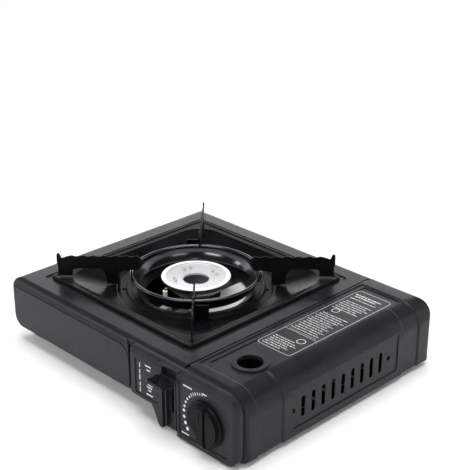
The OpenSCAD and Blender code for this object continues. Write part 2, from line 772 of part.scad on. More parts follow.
igniter_x = [cart_x + 12, cart_x + 24];
igniter_y = [10, 20];
igniter_z = [20, 48];

module igniter() {
    color(plastic_black) home() difference() {
        union() {
            along_z(igniter_z[0], igniter_z[1])
                round_rect([igniter_x[0], igniter_y[0]], [igniter_x[1], igniter_y[1]], [3, 3, 3, 3]);
            rod_z(igniter_z[0] - 4, igniter_z[0] + 1, (igniter_x[0] + igniter_x[1]) / 2, 15, 3);
            rod_z(igniter_z[1] - 1, igniter_z[1] + 4, (igniter_x[0] + igniter_x[1]) / 2, 15, 2.5);
        }
        rod_z(igniter_z[1], igniter_z[1] + 5, (igniter_x[0] + igniter_x[1]) / 2, 15, lead_r + run);
    }
}

module igniter_clip() {
    color(zinc) home() difference() {
        union() {
            along_z(30, 40) difference() {
                round_rect([igniter_x[0] - 1, ear_y[0] + plate_t], [igniter_x[1] + 1, igniter_y[1] + 1], [1, 1, 3, 3]);
                round_rect([igniter_x[0] - 0.1, 0], [igniter_x[1] + 0.1, igniter_y[1] + 0.1], [0, 0, 3, 3]);
            }
            box([igniter_x[1], ear_y[0] + plate_t, 30], [igniter_x[1] + 9, ear_y[0] + plate_t + 1, 40]);
        }
        rod_y(ear_y[0], ear_y[0] + 4, igniter_x[1] + 5, 35, 1.4);
    }
}

electrode_at = [burner_x - 4, burner_y - 40];
lead_r = 1.25;
lead_hole = [16, 62];
lead_top = igniter_z[1] + 2;

module spark_electrode() {
    color(ceramic) home() difference() {
        union() {
            rod_z(47, 69, electrode_at[0], electrode_at[1], 2.4);
            rod_z(50, 54, electrode_at[0], electrode_at[1], 3.4);
        }
        rod_z(44, 70, electrode_at[0], electrode_at[1], 0.75);
    }
}

module electrode_wire() {
    color(zinc) home() {
        rod_z(46.8, 72, electrode_at[0], electrode_at[1], 0.7);
        translate([electrode_at[0], electrode_at[1], 72 - 0.7]) rotate([0, 0, 84]) rotate([0, 90, 0]) cylinder(h = 2.6, r = 0.7);
    }
}

module electrode_bracket() {
    x = electrode_at[0];
    y = electrode_at[1];
    color(zinc) home() difference() {
        union() {
            box([x - 4.5, y - 4.5, 49], [x + 4.5, burner_y - neck_r - 1.2, 50]);
            box([x - 4.5, burner_y - neck_r - 2.2, 44], [x + 12.5, burner_y - neck_r - 1.2, 50]);
        }
        rod_z(48, 51, x, y, 2.5);
    }
}

// The route of the lead, from the igniter to the foot of the electrode.
lead_route = [
    [(igniter_x[0] + igniter_x[1]) / 2, 15, lead_top - 1.5], [(igniter_x[0] + igniter_x[1]) / 2, 15, lead_top + 1.5],
    [(igniter_x[0] + igniter_x[1]) / 2, 15, lead_top + 5], [cart_x + 15, 15, 59], [cart_x + 8, 15, 63],
    [cart_x - 2, 15, 64], [cart_x - 16, 15, 64],
    [cart_x - 28, 16, 63], [split_x + 2, lead_hole[0], lead_hole[1]], [split_x - 8, lead_hole[0], lead_hole[1]],
    [246, 20, 61], [234, 28, 58], [220, 38, 54], [202, 50, 51], [182, 62, 49], [162, 74, 47],
    [147, 84, 46], [139, 90, 44.8], [electrode_at[0] + 1.2, electrode_at[1] - 1.2, 43.6],
    [electrode_at[0], electrode_at[1], 44.8], [electrode_at[0], electrode_at[1], 46.5]];

function unit(v) = v / norm(v);
function tangent(p, i) = unit(p[min(i + 1, len(p) - 1)] - p[max(i - 1, 0)]);
function bend(a, b, c, d, t) = 0.5 * ((2 * b) + (c - a) * t + (2 * a - 5 * b + 4 * c - d) * t * t
                                      + (3 * b - a - 3 * c + d) * t * t * t);
function smooth_route(p, n) = [for (i = [0:len(p) - 2]) for (j = [0:n - 1])
    bend(p[max(i - 1, 0)], p[i], p[i + 1], p[min(i + 2, len(p) - 1)], j / n), p[len(p) - 1]];
function side_of(t) = unit(cross(t, abs(t[1]) < 0.9 ? [0, 1, 0] : [1, 0, 0]));

module swept_tube(p, r, sides) {
    n = len(p);
    ring = [for (i = [0:n - 1]) let (t = tangent(p, i), s = side_of(t), u = cross(t, s))
        for (k = [0:sides - 1]) p[i] + r * (cos(360 * k / sides) * s + sin(360 * k / sides) * u)];
    skin = [for (i = [0:n - 2]) for (k = [0:sides - 1])
        [i * sides + k, i * sides + (k + 1) % sides, (i + 1) * sides + (k + 1) % sides, (i + 1) * sides + k]];
    polyhedron(points = ring, faces = concat([[for (k = [sides - 1:-1:0]) k]], skin,
               [[for (k = [0:sides - 1]) (n - 1) * sides + k]]), convexity = 8);
}

module ignition_lead() {
    color(rubber) home() swept_tube(smooth_route(lead_route, 2), lead_r, 8);
}

// ---- control panel -------------------------------------------------------------------------

panel_screw_x = panel_x + 8;
panel_screw_z = [34, 58];
step_z = 22;
step_a = panel_x + 22;
step_b = step_a + 24;
window_z = [top_z - 12, top_z - 3];
label_x = [panel_x + 8, slot_x - channel_half - 6];
dial_x = [slot_x + channel_half + 3, panel_x1 - 9];
dial_z = [8, top_z - 8];
recess = 0.6;

// Outline of the panel: its lower edge drops from the left end down to the knob's part.
module panel_outline(o) {
    difference() {
        round_rect([panel_x + o, panel_z[0] + o], [panel_x1 - o, panel_z[1] - o], [3, 12 - o, 15 - o, 3]);
        polygon(concat([[panel_x - 1, -5], [panel_x - 1, step_z + o], [step_a + o, step_z + o]],
                       [for (t = [0.05:0.05:1]) [step_a + o + (step_b - step_a) * t,
                        step_z + o - (step_z - panel_z[0]) * (1 - cos(180 * t)) / 2]], [[step_b + o, -5]]));
    }
}

module panel_solid(o) {
    intersection() {
        along_y(-panel_t + o, o > 0 ? 1 : 0) panel_outline(o);
        along_x(panel_x - 1, panel_x1 + 1)
            round_rect([-panel_t + o, panel_z[0] - 1], [5, panel_z[1] - o], [0, 0, 0, 7 - o]);
        along_z(0, top_z)
            round_rect([panel_x + o, -panel_t + o], [panel_x1 - o, 5], [3 - o, 6 - o, 0, 0]);
    }
}

module bay_skirt() {
    x0 = hinge_x + 3;
    x1 = plate_x1 - 2;
    z1 = plate_top - 3;
    along_y(-1, ear_y[0] - seat) difference() {
        round_rect([x0, 9], [x1, z1], [2, 6, 16, 2]);
        round_rect([x0 + panel_wall, 9 + panel_wall], [x1 - panel_wall, z1 - panel_wall], [1, 4, 14, 1]);
    }
}

module control_panel() {
    color(plastic_black) home() difference() {
        union() {
            difference() {
                panel_solid(0);
                panel_solid(panel_wall);
            }
            box([slot_x - channel_half - panel_wall, -panel_t + 1, panel_z[0] + 2],
                [slot_x + channel_half + panel_wall, -panel_t + 7, window_z[1] + 2]);
            bay_skirt();
            for (p = boss_spots) rod_y(-panel_t + 1, ear_y[0] - seat, p[0], p[1], 3.6);
            for (z = panel_screw_z) rod_y(-panel_t + 1, 0, panel_screw_x, z, 3.6);
            rod_y(-panel_t + 1, -panel_t + 6, knob_x, knob_z, 10);
        }
        box([slot_x - channel_half, -panel_t - 1, 0], [slot_x + channel_half, -panel_t + 5, window_z[0] - 2]);
        along_y(-20, 5) translate([slot_x, pivot_z]) upright_slot(0, 0, 5, 38);
        box([slot_x - channel_half, -panel_t - 1, window_z[0]], [slot_x + channel_half, -panel_t + 5, window_z[1]]);
        rod_y(-20, 5, knob_x, knob_z, hub_r + 0.5);
        along_y(-panel_t - 1, -panel_t + recess)
            round_rect([label_x[0], step_z + 3], [label_x[1], top_z - 9], [2, 2, 2, 2]);
        along_y(-panel_t - 1, -panel_t + recess)
            round_rect([dial_x[0], dial_z[0]], [dial_x[1], dial_z[1]], [2, 6, 9, 2]);
        for (p = boss_spots) rod_y(-2, ear_y[0] + 1, p[0], p[1], 1.3);
        for (z = panel_screw_z) rod_y(-panel_t + 3, 1, panel_screw_x, z, 1.3);
    }
}

module panel_screws() {
    color(zinc) home() {
        for (z = panel_screw_z) translate([panel_screw_x, sheet + 2, z]) rotate([-90, 0, 0]) screw(1.2, 5, 2.8, 1.9);
        for (p = boss_spots) translate([p[0], ear_y[0] + plate_t + 2, p[1]]) rotate([-90, 0, 0]) screw(1.2, 7, 2.8, 1.9);
    }
}

// ---- knob ----------------------------------------------------------------------------------

hub_r = 7;
grip_half = 4.3;
cut_r = 16.5;
knob_back = panel_t + 0.4;

// A disc with a grip bar across it. Its rim is cut back at the lower left, over the spark symbol.
module gas_knob() {
    y0 = -knob_back;
    color(plastic_black) home() difference() {
        union() {
            rod_y(y0 - 1.2, y0, knob_x, knob_z, knob_r);
            translate([knob_x, y0 - 1.2, knob_z]) rotate([90, 0, 0]) cylinder(h = 1.6, r1 = knob_r - 0.2, r2 = knob_r - 1.6);
            intersection() {
                rod_y(-knob_reach, y0, knob_x, knob_z, knob_r - 1);
                along_x(knob_x - grip_half, knob_x + grip_half)
                    round_rect([-knob_reach, knob_z - knob_r], [0, knob_z + knob_r], [4.5, 0, 0, 4.5]);
            }
            rod_y(y0 - 1, -2.6, knob_x, knob_z, hub_r);
        }
        rod_y(y0 - 1, 1, knob_x, knob_z, spindle_r + run);
        for (s = [-1, 1]) along_y(y0 - 4, y0 - 1.6) translate([knob_x + s * (grip_half + 2), knob_z])
            upright_slot(0, 0, 4, knob_r * 1.35);
        along_y(y0 - 4, y0 + 1) translate([knob_x, knob_z]) difference() {
            polygon([[0, 0], [-40, -17], [-40, -40], [-6, -40]]);
            circle(cut_r);
            square([2 * grip_half + 3, 60], center = true);
        }
        box([knob_x - 0.6, -knob_reach - 1, knob_z + 5], [knob_x + 0.6, -knob_reach + 0.5, knob_z + knob_r - 7]);
    }
}

module knob_spindle() {
    color(brass) home() difference() {
        rod_y(-knob_back - 0.8, valve_y[0] + 5, knob_x, knob_z, spindle_r);
        box([knob_x - 5, -knob_back - 2, knob_z + spindle_r - 0.7], [knob_x + 5, -3, knob_z + 6]);
    }
}

module spark_cam() {
    color(plastic_black) home() difference() {
        along_y(11, 17) translate([knob_x, knob_z]) {
            circle(6);
            rotate(120) polygon([[0, -6], [9, -2], [10, 0], [9, 2], [0, 6]]);
        }
        rod_y(10, 18, knob_x, knob_z, spindle_r + run);
    }
}

// ---- lock lever and cartridge slider -------------------------------------------------------

lever_half = 1.5;
handle_y = -16;
handle_z = 56;
rivet_z = (rail_z[0] + rail_z[1]) / 2;
rivet_y = [70, 200];
slide_travel = 2 * crank * sin(lever_swing / 2);
pin_y = pivot_y + crank * sin(lever_swing / 2);
pin_z = pivot_z + crank * cos(lever_swing / 2);

module bar(a, b, w) {
    d = b - a;
    translate(a) rotate(atan2(d[1], d[0])) translate([0, -w / 2]) square([norm(d), w]);
}

module lock_lever() {
    color(zinc) home() difference() {
        union() {
            along_x(slot_x - lever_half, slot_x + lever_half) {
                translate([pivot_y, pivot_z]) circle(5);
                bar([pivot_y, pivot_z], [handle_y + 2, handle_z - 1], 6);
                bar([pivot_y, pivot_z], [pin_y, pin_z], 5);
                translate([pin_y, pin_z]) circle(3);
            }
            rod_x(slot_x - 4, slot_x + 4, pivot_y, pivot_z, 4.5);
        }
        rod_x(slot_x - 5, slot_x + 5, pivot_y, pivot_z, pivot_r + run);
        rod_x(slot_x - 5, slot_x + 5, pin_y, pin_z, 1.5 + run);
    }
}

module lever_handle() {
    color(plastic_black) home() difference() {
        intersection() {
            along_x(slot_x - 16, slot_x + 7)
                polygon([[-panel_t - 4.2, handle_z - 6], [-panel_t - 2, handle_z + 6], [-panel_t - 8, handle_z + 6],
                         [front_y, handle_z + 2], [front_y + 1, handle_z - 3], [-panel_t - 7, handle_z - 7]]);
            along_y(-40, 0)
                polygon([[slot_x - 16, handle_z + 1], [slot_x - 7, handle_z + 6], [slot_x + 2, handle_z + 6],
                         [slot_x + 7, handle_z], [slot_x + 2, handle_z - 7], [slot_x - 12, handle_z - 7]]);
        }
        along_x(slot_x - lever_half - 0.1, slot_x + lever_half + 0.1)
            bar([pivot_y, pivot_z], [handle_y + 1.6, handle_z - 0.8], 6.2);
    }
}

module lever_pivot_pin() {
    color(zinc) home() difference() {
        union() {
            rod_x(slot_x - 6, wall_x, pivot_y, pivot_z, pivot_r);
            rod_x(slot_x - 7.2, slot_x - 4.2, pivot_y, pivot_z, pivot_r + 1.2);
            rod_x(slot_x + 4.2, wall_x, pivot_y, pivot_z, pivot_r + 1);
            rod_x(wall_x - 0.5, split_x, pivot_y, pivot_z, pivot_r - 0.5);
        }
    }
}

module crank_pin() {
    color(zinc) home() {
        rod_x(slot_x - 2.2, split_x + 2.2, pin_y, pin_z, 1.5);
        rod_x(slot_x + lever_half + 0.1, slot_x + lever_half + 1.6, pin_y, pin_z, 2.3);
    }
}

slider_x = [split_x + 0.8, split_x + 1.8];

module cartridge_slider() {
    claw_x = cart_x + 12;
    color(zinc) home() difference() {
        union() {
            along_x(slider_x[0], slider_x[1]) {
                round_rect([pin_y - 4.9, rail_z[0]], [claw_y + 1.4, rail_z[1]], [3, 0, 0, 3]);
                round_rect([pin_y - 4.9, rail_z[0]], [pin_y + 5, pin_z + 6], [2, 2, 3, 3]);
            }
            along_y(claw_y + 0.4, claw_y + 1.4) {
                round_rect([slider_x[0], rail_z[0]], [claw_x, rail_z[1]], [2, 3, 3, 0]);
                translate([cart_x, cart_z]) circle(12);
                translate([cart_x - 8, rail_z[0]]) square([16, 20]);
            }
        }
        along_x(slider_x[0] - 1, slider_x[1] + 1) {
            upright_slot(pin_y, pin_z - 0.2, 3.3, 6);
            for (y = rivet_y) level_slot(y + slide_travel / 2, rivet_z, 4.4, 4.4 + slide_travel + 1);
        }
        rod_y(claw_y - 1, claw_y + 3, cart_x, cart_z, 5);
        along_x(slider_x[0] - 1, slider_x[1] + 1) for (y = [95:30:185]) level_slot(y, rivet_z, 6, 18);
    }
}

module slide_rivets() {
    color(zinc) home() for (y = rivet_y) {
        rod_x(wall_x - 1.2, wall_x, y, rivet_z, 3.4);
        rod_x(wall_x - 0.5, slider_x[1] + 0.3, y, rivet_z, 1.95);
        rod_x(slider_x[1] + 0.25, slider_x[1] + 1.1, y, rivet_z, 3.6);
        rod_x(split_x, slider_x[0] - 0.25, y, rivet_z, 3.6);
    }
}

// ---- pan support ---------------------------------------------------------------------------

arm_inner = 57;
leg_in = [79.4, 94];
leg_out = [129.2, arm_reach - 1];
horn_top = arm_top + 2.8;
window_top = arm_top - 14.5;

// Waves of the arm's top edge, from the inner end to the notch before the horn.
function wave_points(r0, r1) = [for (r = [r0:wave_pitch / 6:r1]) [r, arm_top - 0.6 + 0.6 * cos(360 * (r - r0) / wave_pitch)]];

module arm_outline() {
    polygon(concat(
        [[arm_inner, arm_top - 3.5]],
        wave_points(arm_inner + 4, arm_reach - 10),
        [[arm_reach - 5.2, arm_top - 3], [arm_reach - 3.6, horn_top - 1.6], [arm_reach - 2.2, horn_top],
         [arm_reach - 0.4, horn_top - 0.8], [arm_reach, horn_top - 3], [arm_reach, arm_top - 9],
         [leg_out[1], arm_top - 11], [leg_out[1], tray_rim_z + 0.3], [leg_out[0], tray_rim_z + 0.3],
         [leg_out[0], window_top - 2], [leg_out[0] - 2, window_top], [leg_in[1] + 5, window_top],
         [leg_in[1] + 2, window_top - 4], [leg_in[1], window_top - 10], [leg_in[1], basin_z + 2.6],
         [basin_r - 1, basin_z + 1.2], [leg_in[0], basin_z + 1.2], [leg_in[0], ring_z - 1],
         [ring_r + 4, ring_z + 0.3], [ring_r - 6, ring_z + 0.3], [arm_inner + 2, ring_z + 3]]));
}

module support_arm(a) {
    color(enamel_black) home() translate([burner_x, burner_y, 0]) rotate(a) {
        translate([0, arm_t / 2, 0]) rotate([90, 0, 0]) linear_extrude(arm_t) arm_outline();
        box([leg_in[0], arm_t / 2 - eps, basin_z + 1.2], [leg_in[0] + arm_t, 15, window_top - 2]);
    }
}

module support_arm_front() {
    support_arm(arm_angles[0]);
}

module support_arm_right() {
    support_arm(arm_angles[1]);
}

module support_arm_back() {
    support_arm(arm_angles[2]);
}

module support_arm_left() {
    support_arm(arm_angles[3]);
}

module support_ring() {
    rim = 1.9;
    color(enamel_black) home() translate([burner_x, burner_y, 0]) rotate_extrude() {
        translate([ring_r, ring_z - rim]) circle(rim);
        polygon([[ring_r - 8.2, ring_z - 14.5], [ring_r - 7.2, ring_z - 14.5], [ring_r + 0.4, ring_z - rim],
                 [ring_r - 0.7, ring_z - rim]]);
    }
}

// ---- pieces --------------------------------------------------------------------------------

base_plate();
top_shell();
control_panel();
partition_wall();
valve_plate();
rear_plate();
drip_tray();
burner_head();
burner_base();
mixing_tube();
burner_bracket();
heat_plate();
valve_body();
regulator_cap();
regulator_screws();
gas_jet();
cartridge_collar();
collar_seal();
spindle_bush();
igniter();
igniter_clip();
spark_electrode();
electrode_wire();
electrode_bracket();
ignition_lead();
lever_pivot_pin();
slide_rivets();
hinge_pins();
feet();
base_screws();
panel_screws();
valve_screws();
burner_screws();
cartridge_lid();
gas_knob();
knob_spindle();
spark_cam();
lock_lever();
lever_handle();
crank_pin();
cartridge_slider();
support_ring();
support_arm_front();
support_arm_right();
support_arm_back();
support_arm_left();
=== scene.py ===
"""Looks of a butane cassette stove: pressed steel casing, enamel tray, pan support, burner and controls."""
import json
import math

import bmesh
import bpy
from bpy.props import FloatProperty, FloatVectorProperty, IntProperty, PointerProperty
from mathutils import Matrix, Vector

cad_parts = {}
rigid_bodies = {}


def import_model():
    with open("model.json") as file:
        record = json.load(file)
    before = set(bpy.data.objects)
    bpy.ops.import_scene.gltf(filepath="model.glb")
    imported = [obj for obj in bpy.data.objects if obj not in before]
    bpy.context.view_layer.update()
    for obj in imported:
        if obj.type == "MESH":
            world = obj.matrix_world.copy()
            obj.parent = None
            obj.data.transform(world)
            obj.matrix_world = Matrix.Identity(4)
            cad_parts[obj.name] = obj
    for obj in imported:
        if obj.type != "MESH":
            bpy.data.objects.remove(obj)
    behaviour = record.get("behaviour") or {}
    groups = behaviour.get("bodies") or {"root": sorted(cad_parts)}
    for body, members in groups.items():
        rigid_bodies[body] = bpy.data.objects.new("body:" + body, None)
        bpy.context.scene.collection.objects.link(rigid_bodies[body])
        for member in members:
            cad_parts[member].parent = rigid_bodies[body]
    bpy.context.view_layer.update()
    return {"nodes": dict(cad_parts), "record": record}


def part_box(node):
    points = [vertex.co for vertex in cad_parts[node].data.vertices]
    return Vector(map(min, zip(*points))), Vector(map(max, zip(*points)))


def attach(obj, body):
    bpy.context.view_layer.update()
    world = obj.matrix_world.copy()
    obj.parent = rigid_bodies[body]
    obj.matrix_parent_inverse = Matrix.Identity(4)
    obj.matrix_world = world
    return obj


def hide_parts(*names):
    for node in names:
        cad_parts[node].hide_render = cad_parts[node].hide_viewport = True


bl_info = {
    "name": "Butane Cassette Stove",
    "version": (1, 0, 0),
    "blender": (4, 5, 0),
    "location": "View3D > Sidebar > Stove",
    "description": "Models and finishes a tabletop gas stove around its packed frame",
    "category": "Object",
}

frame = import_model()
MM = 0.001

# ---- places, in millimetres from the stove's left end, front face and table ----

DEPTH = 270.0
SHELL_LOW, SHELL_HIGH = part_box("top_shell")
LEFT = SHELL_LOW.x
FRONT = SHELL_HIGH.y - DEPTH * MM
AXES = {"x": Vector((1, 0, 0)), "y": Vector((0, 1, 0)), "z": Vector((0, 0, 1))}


def corners_of(node):
    """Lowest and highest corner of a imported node, in those millimetres."""
    return [((c.x - LEFT) / MM, (c.y - FRONT) / MM, c.z / MM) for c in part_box(node)]


def half_width(node):
    """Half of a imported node's width."""
    low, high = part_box(node)
    return (high.x - low.x) / MM / 2


(_, _, SHELL_BOTTOM), (SPLIT, _, TOP) = corners_of("top_shell")
(_, LID_FRONT, SKIRT_Z), (WIDTH, LID_BACK, _) = corners_of("cartridge_lid")
(PANEL_LEFT, PANEL_FRONT, PANEL_BOTTOM), (PANEL_RIGHT, _, PANEL_TOP) = corners_of("control_panel")
HEAD_LOW, HEAD_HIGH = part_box("burner_head")
BURNER = (((HEAD_LOW.x + HEAD_HIGH.x) / 2 - LEFT) / MM, ((HEAD_LOW.y + HEAD_HIGH.y) / 2 - FRONT) / MM)
HEAD_TOP = HEAD_HIGH.z / MM
HEAD_RADIUS = half_width("burner_head")
TRAY_RIM = corners_of("drip_tray")[1][2]
TRAY_HALF = half_width("drip_tray")
RING_TOP = corners_of("support_ring")[1][2]
RING_OUT = half_width("support_ring")
KNOB_LOW, KNOB_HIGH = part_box("gas_knob")
KNOB_FRONT = (KNOB_LOW.y - FRONT) / MM
KNOB_RADIUS = (KNOB_HIGH.z - KNOB_LOW.z) / MM / 2
KNOB_X = (KNOB_LOW.x + KNOB_HIGH.x - 2 * LEFT) / MM / 2
KNOB_Z = (KNOB_LOW.z + KNOB_HIGH.z) / MM / 2
ARM_ANGLES = {"front": -44.5, "right": 45.0, "back": 133.5, "left": 225.0}


def at(x, y, z):
    """World place of a point given in millimetres from the left end, the front face and the table."""
    return Vector((LEFT + x * MM, FRONT + y * MM, z * MM))
BURNER_FOOT = at(*BURNER, 0)


# ---- what a user would change ----

def length(name, text, value):
    """A length that the panel shows."""
    return FloatProperty(name=name, description=text, default=value, unit="LENGTH")


def colour(name, text, value):
    """A colour that the panel shows."""
    return FloatVectorProperty(name=name, description=text, subtype="COLOR", default=value, min=0.0, max=1.0)


class StoveSizes(bpy.types.PropertyGroup):
    """Sizes of the pressed and moulded edges and of the printed marks."""

    sheet: length("Sheet", "Thickness of the pressed steel", 0.0008)
    crease: length("Crease", "Radius of the pressed creases", 0.0014)
    moulded: length("Moulded edge", "Radius of the plastic edges", 0.0005)
    stamped: length("Stamped edge", "Radius of the arms' edges", 0.0003)
    ink: length("Ink", "How far a printed mark stands over its ground", 0.00006)
    tray_points: IntProperty(name="Tray points", description="Points round the drip tray", default=192, min=64)
    round_steps: IntProperty(name="Round steps", description="Steps round a turned piece", default=128, min=32)


class StoveColours(bpy.types.PropertyGroup):
    """Colours of the finishes."""

    coat: colour("Coat", "Satin powder coat of the casing", (0.0135, 0.0131, 0.0153))
    enamel: colour("Enamel", "Gloss enamel of the tray and the ring", (0.0050, 0.0050, 0.0060))
    plastic: colour("Plastic", "Moulded panel, knob and handle", (0.0200, 0.0196, 0.0222))
    metal: colour("Aluminium", "Cast burner head", (0.60, 0.605, 0.615))
    zinc: colour("Zinc", "Plated steel inside", (0.55, 0.56, 0.58))
    brass: colour("Brass", "Jet, bush and spindle", (0.70, 0.50, 0.20))
    ceramic: colour("Ceramic", "Insulator of the electrode", (0.86, 0.85, 0.80))
    rubber: colour("Rubber", "Feet and seal", (0.018, 0.018, 0.018))
    ink: colour("Ink", "Printed marks", (0.72, 0.72, 0.74))
    floor: colour("Floor", "Floor and backdrop", (0.96, 0.96, 0.96))


# ---- outlines ----

def arc(centre, radius, start, end, steps):
    """Points on a round stretch, from start to end in degrees."""
    turns = [math.radians(start + (end - start) * i / steps) for i in range(steps + 1)]
    return [(centre[0] + radius * math.cos(t), centre[1] + radius * math.sin(t)) for t in turns]


def filleted(corners, radii, steps=8):
    """Outline through the corners, each rounded by its own radius."""
    points = []
    for i, (corner, radius) in enumerate(zip(corners, radii)):
        here = Vector(corner)
        if radius == 0:
            points.append(tuple(here))
            continue
        back = (Vector(corners[i - 1]) - here).normalized()
        on = (Vector(corners[(i + 1) % len(corners)]) - here).normalized()
        half = back.angle(on) / 2
        middle = here + (back + on).normalized() * radius / math.sin(half)
        first = here + back * radius / math.tan(half) - middle
        last = here + on * radius / math.tan(half) - middle
        sweep = first.angle_signed(last)
        begin = math.atan2(first.y, first.x)
        for k in range(steps + 1):
            turn = begin - sweep * k / steps
            points.append((middle.x + radius * math.cos(turn), middle.y + radius * math.sin(turn)))
    return points


def rectangle(low, high):
    """Corners of a rectangle, anticlockwise from its lowest one."""
    return [low, (high[0], low[1]), high, (low[0], high[1])]


def square(half):
    """Corners of a square round the burner."""
    return rectangle((BURNER[0] - half, BURNER[1] - half), (BURNER[0] + half, BURNER[1] + half))


def rounded(low, high, radii, steps=8):
    """A rectangle's outline, each corner rounded by its own radius."""
    return filleted(rectangle(low, high), radii, steps)


def slot_outline(a, b, width, length):
    """A slot with round ends, its length along the second axis."""
    half = width / 2
    reach = length / 2 - half
    return arc((a, b + reach), half, 0, 180, 8) + arc((a, b - reach), half, 180, 360, 8)


# ---- modelling steps ----

def take(obj):
    """Makes one piece the only selected and the active one."""
    bpy.ops.object.select_all(action="DESELECT")
    obj.select_set(True)
    bpy.context.view_layer.objects.active = obj


def edit(obj, mode="VERT"):
    """Opens a piece in edit mode with nothing selected."""
    take(obj)
    bpy.ops.object.mode_set(mode="EDIT")
    bpy.ops.mesh.select_mode(type=mode)
    bpy.ops.mesh.select_all(action="DESELECT")


def close_edit():
    """Goes back from edit mode."""
    bpy.ops.object.mode_set(mode="OBJECT")


def pick(obj, test):
    """Edit mode with the faces selected whose middle, in millimetres of the stove, and normal pass the test."""
    edit(obj, "FACE")
    mesh = bmesh.from_edit_mesh(obj.data)
    for face in mesh.faces:
        middle = face.calc_center_median()
        place = Vector(((middle.x - LEFT) / MM, (middle.y - FRONT) / MM, middle.z / MM))
        face.select_set(test(place, face.normal))
    mesh.select_flush_mode()
    bmesh.update_edit_mesh(obj.data)


def pull(way):
    """In edit mode: extrudes what is selected along a world vector."""
    bpy.ops.mesh.extrude_region_move(TRANSFORM_OT_translate={"value": way})


def draw_line(points):
    """In edit mode: draws edges through world points, pulled out of one vertex, and leaves them selected."""
    bpy.ops.mesh.select_all(action="DESELECT")
    bpy.ops.mesh.primitive_plane_add(size=MM, location=points[0])
    bpy.ops.mesh.merge(type="CENTER")
    for here, there in zip(points, points[1:]):
        pull(there - here)
    bpy.ops.mesh.select_linked()


def start_piece(name):
    """An empty mesh piece, open in edit mode."""
    bpy.ops.object.select_all(action="DESELECT")
    bpy.ops.mesh.primitive_plane_add(size=MM, location=(0, 0, 0))
    obj = bpy.context.active_object
    obj.name = name
    obj.data.name = name
    edit(obj)
    bpy.ops.mesh.select_all(action="SELECT")
    bpy.ops.mesh.delete(type="VERT")
    return obj


def face_out():
    """In edit mode: closes doubles and turns all faces outwards."""
    bpy.ops.mesh.select_all(action="SELECT")
    bpy.ops.mesh.remove_doubles(threshold=MM * 0.002)
    bpy.ops.mesh.normals_make_consistent(inside=False)


def prism(name, outline, axis, low, high):
    """A straight solid: an outline in millimetres across the axis, pulled from low to high along it."""
    place = {"x": lambda a, b: at(low, a, b), "y": lambda a, b: at(a, low, b), "z": lambda a, b: at(a, b, low)}
    obj = start_piece(name)
    draw_line([place[axis](a, b) for a, b in outline])
    bpy.ops.mesh.edge_face_add()
    pull(AXES[axis] * (high - low) * MM)
    face_out()
    close_edit()
    return obj


def block(name, low, high):
    """A straight-sided solid between two corners in millimetres."""
    return prism(name, rectangle(low[:2], high[:2]), "z", low[2], high[2])


def rod(name, axis, a, b, radius, low, high, steps=48):
    """A round bar along an axis."""
    return prism(name, arc((a, b), radius, 0, 360 - 360 / steps, steps - 1), axis, low, high)


def turned(name, profile, steps, centre=(*BURNER, 0), axis="z"):
    """A turned piece: a closed profile of radius and height in millimetres, spun round an axis."""
    obj = start_piece(name)
    middle = at(*centre)
    along = AXES[axis]
    draw_line([middle + (AXES["x"] * r + along * h) * MM for r, h in profile + profile[:1]])
    bpy.ops.mesh.spin(steps=steps, angle=math.tau, center=middle, axis=along)
    face_out()
    close_edit()
    return obj


def apply_modifier(obj, kind, **settings):
    """Adds a modifier, sets it and applies it."""
    take(obj)
    modifier = obj.modifiers.new(kind.lower(), kind)
    for key, value in settings.items():
        setattr(modifier, key, value)
    bpy.ops.object.modifier_apply(modifier=modifier.name)


def combine(obj, other, operation, crossed=False):
    """Joins, cuts or intersects two solids and removes the second. A pressing may cross itself."""
    apply_modifier(obj, "BOOLEAN", operation=operation, object=other, solver="EXACT", use_self=crossed)
    if not obj.data.polygons:
        raise RuntimeError(f"{obj.name} came out empty")
    mesh = other.data
    bpy.data.objects.remove(other)
    bpy.data.meshes.remove(mesh)
    return obj


def cut(obj, *others):
    """Cuts solids out of a piece."""
    for other in others:
        combine(obj, other, "DIFFERENCE")


def add(obj, *others):
    """Joins solids to a piece."""
    for other in others:
        combine(obj, other, "UNION")


def keep(obj, *others):
    """Keeps only what of a piece lies inside the solids."""
    for other in others:
        combine(obj, other, "INTERSECT")


def repeat(obj, count, step):
    """Repeats a piece in a row, each copy a step in metres further on."""
    apply_modifier(obj, "ARRAY", count=count, use_relative_offset=False, use_constant_offset=True,
                   constant_offset_displace=step)
    return obj


def tidy(obj, angle=0.5):
    """Merges doubles and the flat faces that cuts have split."""
    edit(obj)
    bpy.ops.mesh.select_all(action="SELECT")
    bpy.ops.mesh.remove_doubles(threshold=MM * 0.002)
    bpy.ops.mesh.dissolve_limited(angle_limit=math.radians(angle))
    close_edit()


def round_edges(obj, radius, angle=30, segments=3):
    """Rounds every edge that is sharper than the angle."""
    apply_modifier(obj, "BEVEL", width=radius, segments=segments, limit_method="ANGLE",
                   angle_limit=math.radians(angle), use_clamp_overlap=True, miter_outer="MITER_ARC")


def open_faces(obj, test):
    """Deletes the faces that a pressed sheet doesn't have."""
    pick(obj, test)
    bpy.ops.mesh.delete(type="FACE")
    close_edit()


def thicken(obj, thickness):
    """Gives a pressed surface its sheet thickness, inwards."""
    apply_modifier(obj, "SOLIDIFY", thickness=thickness, offset=-1, use_even_offset=True, use_quality_normals=True)


def turn_about_burner(obj, degrees):
    """Turns a piece round the burner's axis and applies the turn."""
    turn = Matrix.Rotation(math.radians(degrees), 4, "Z")
    obj.matrix_world = Matrix.Translation(BURNER_FOOT) @ turn @ Matrix.Translation(-BURNER_FOOT)
    take(obj)
    bpy.ops.object.transform_apply(location=True, rotation=True, scale=True)


def copied(obj, name):
    """A copy of a piece with a mesh of its own."""
    other = obj.copy()
    other.data = obj.data.copy()
    other.name = name
    other.data.name = name
    bpy.context.scene.collection.objects.link(other)
    return other


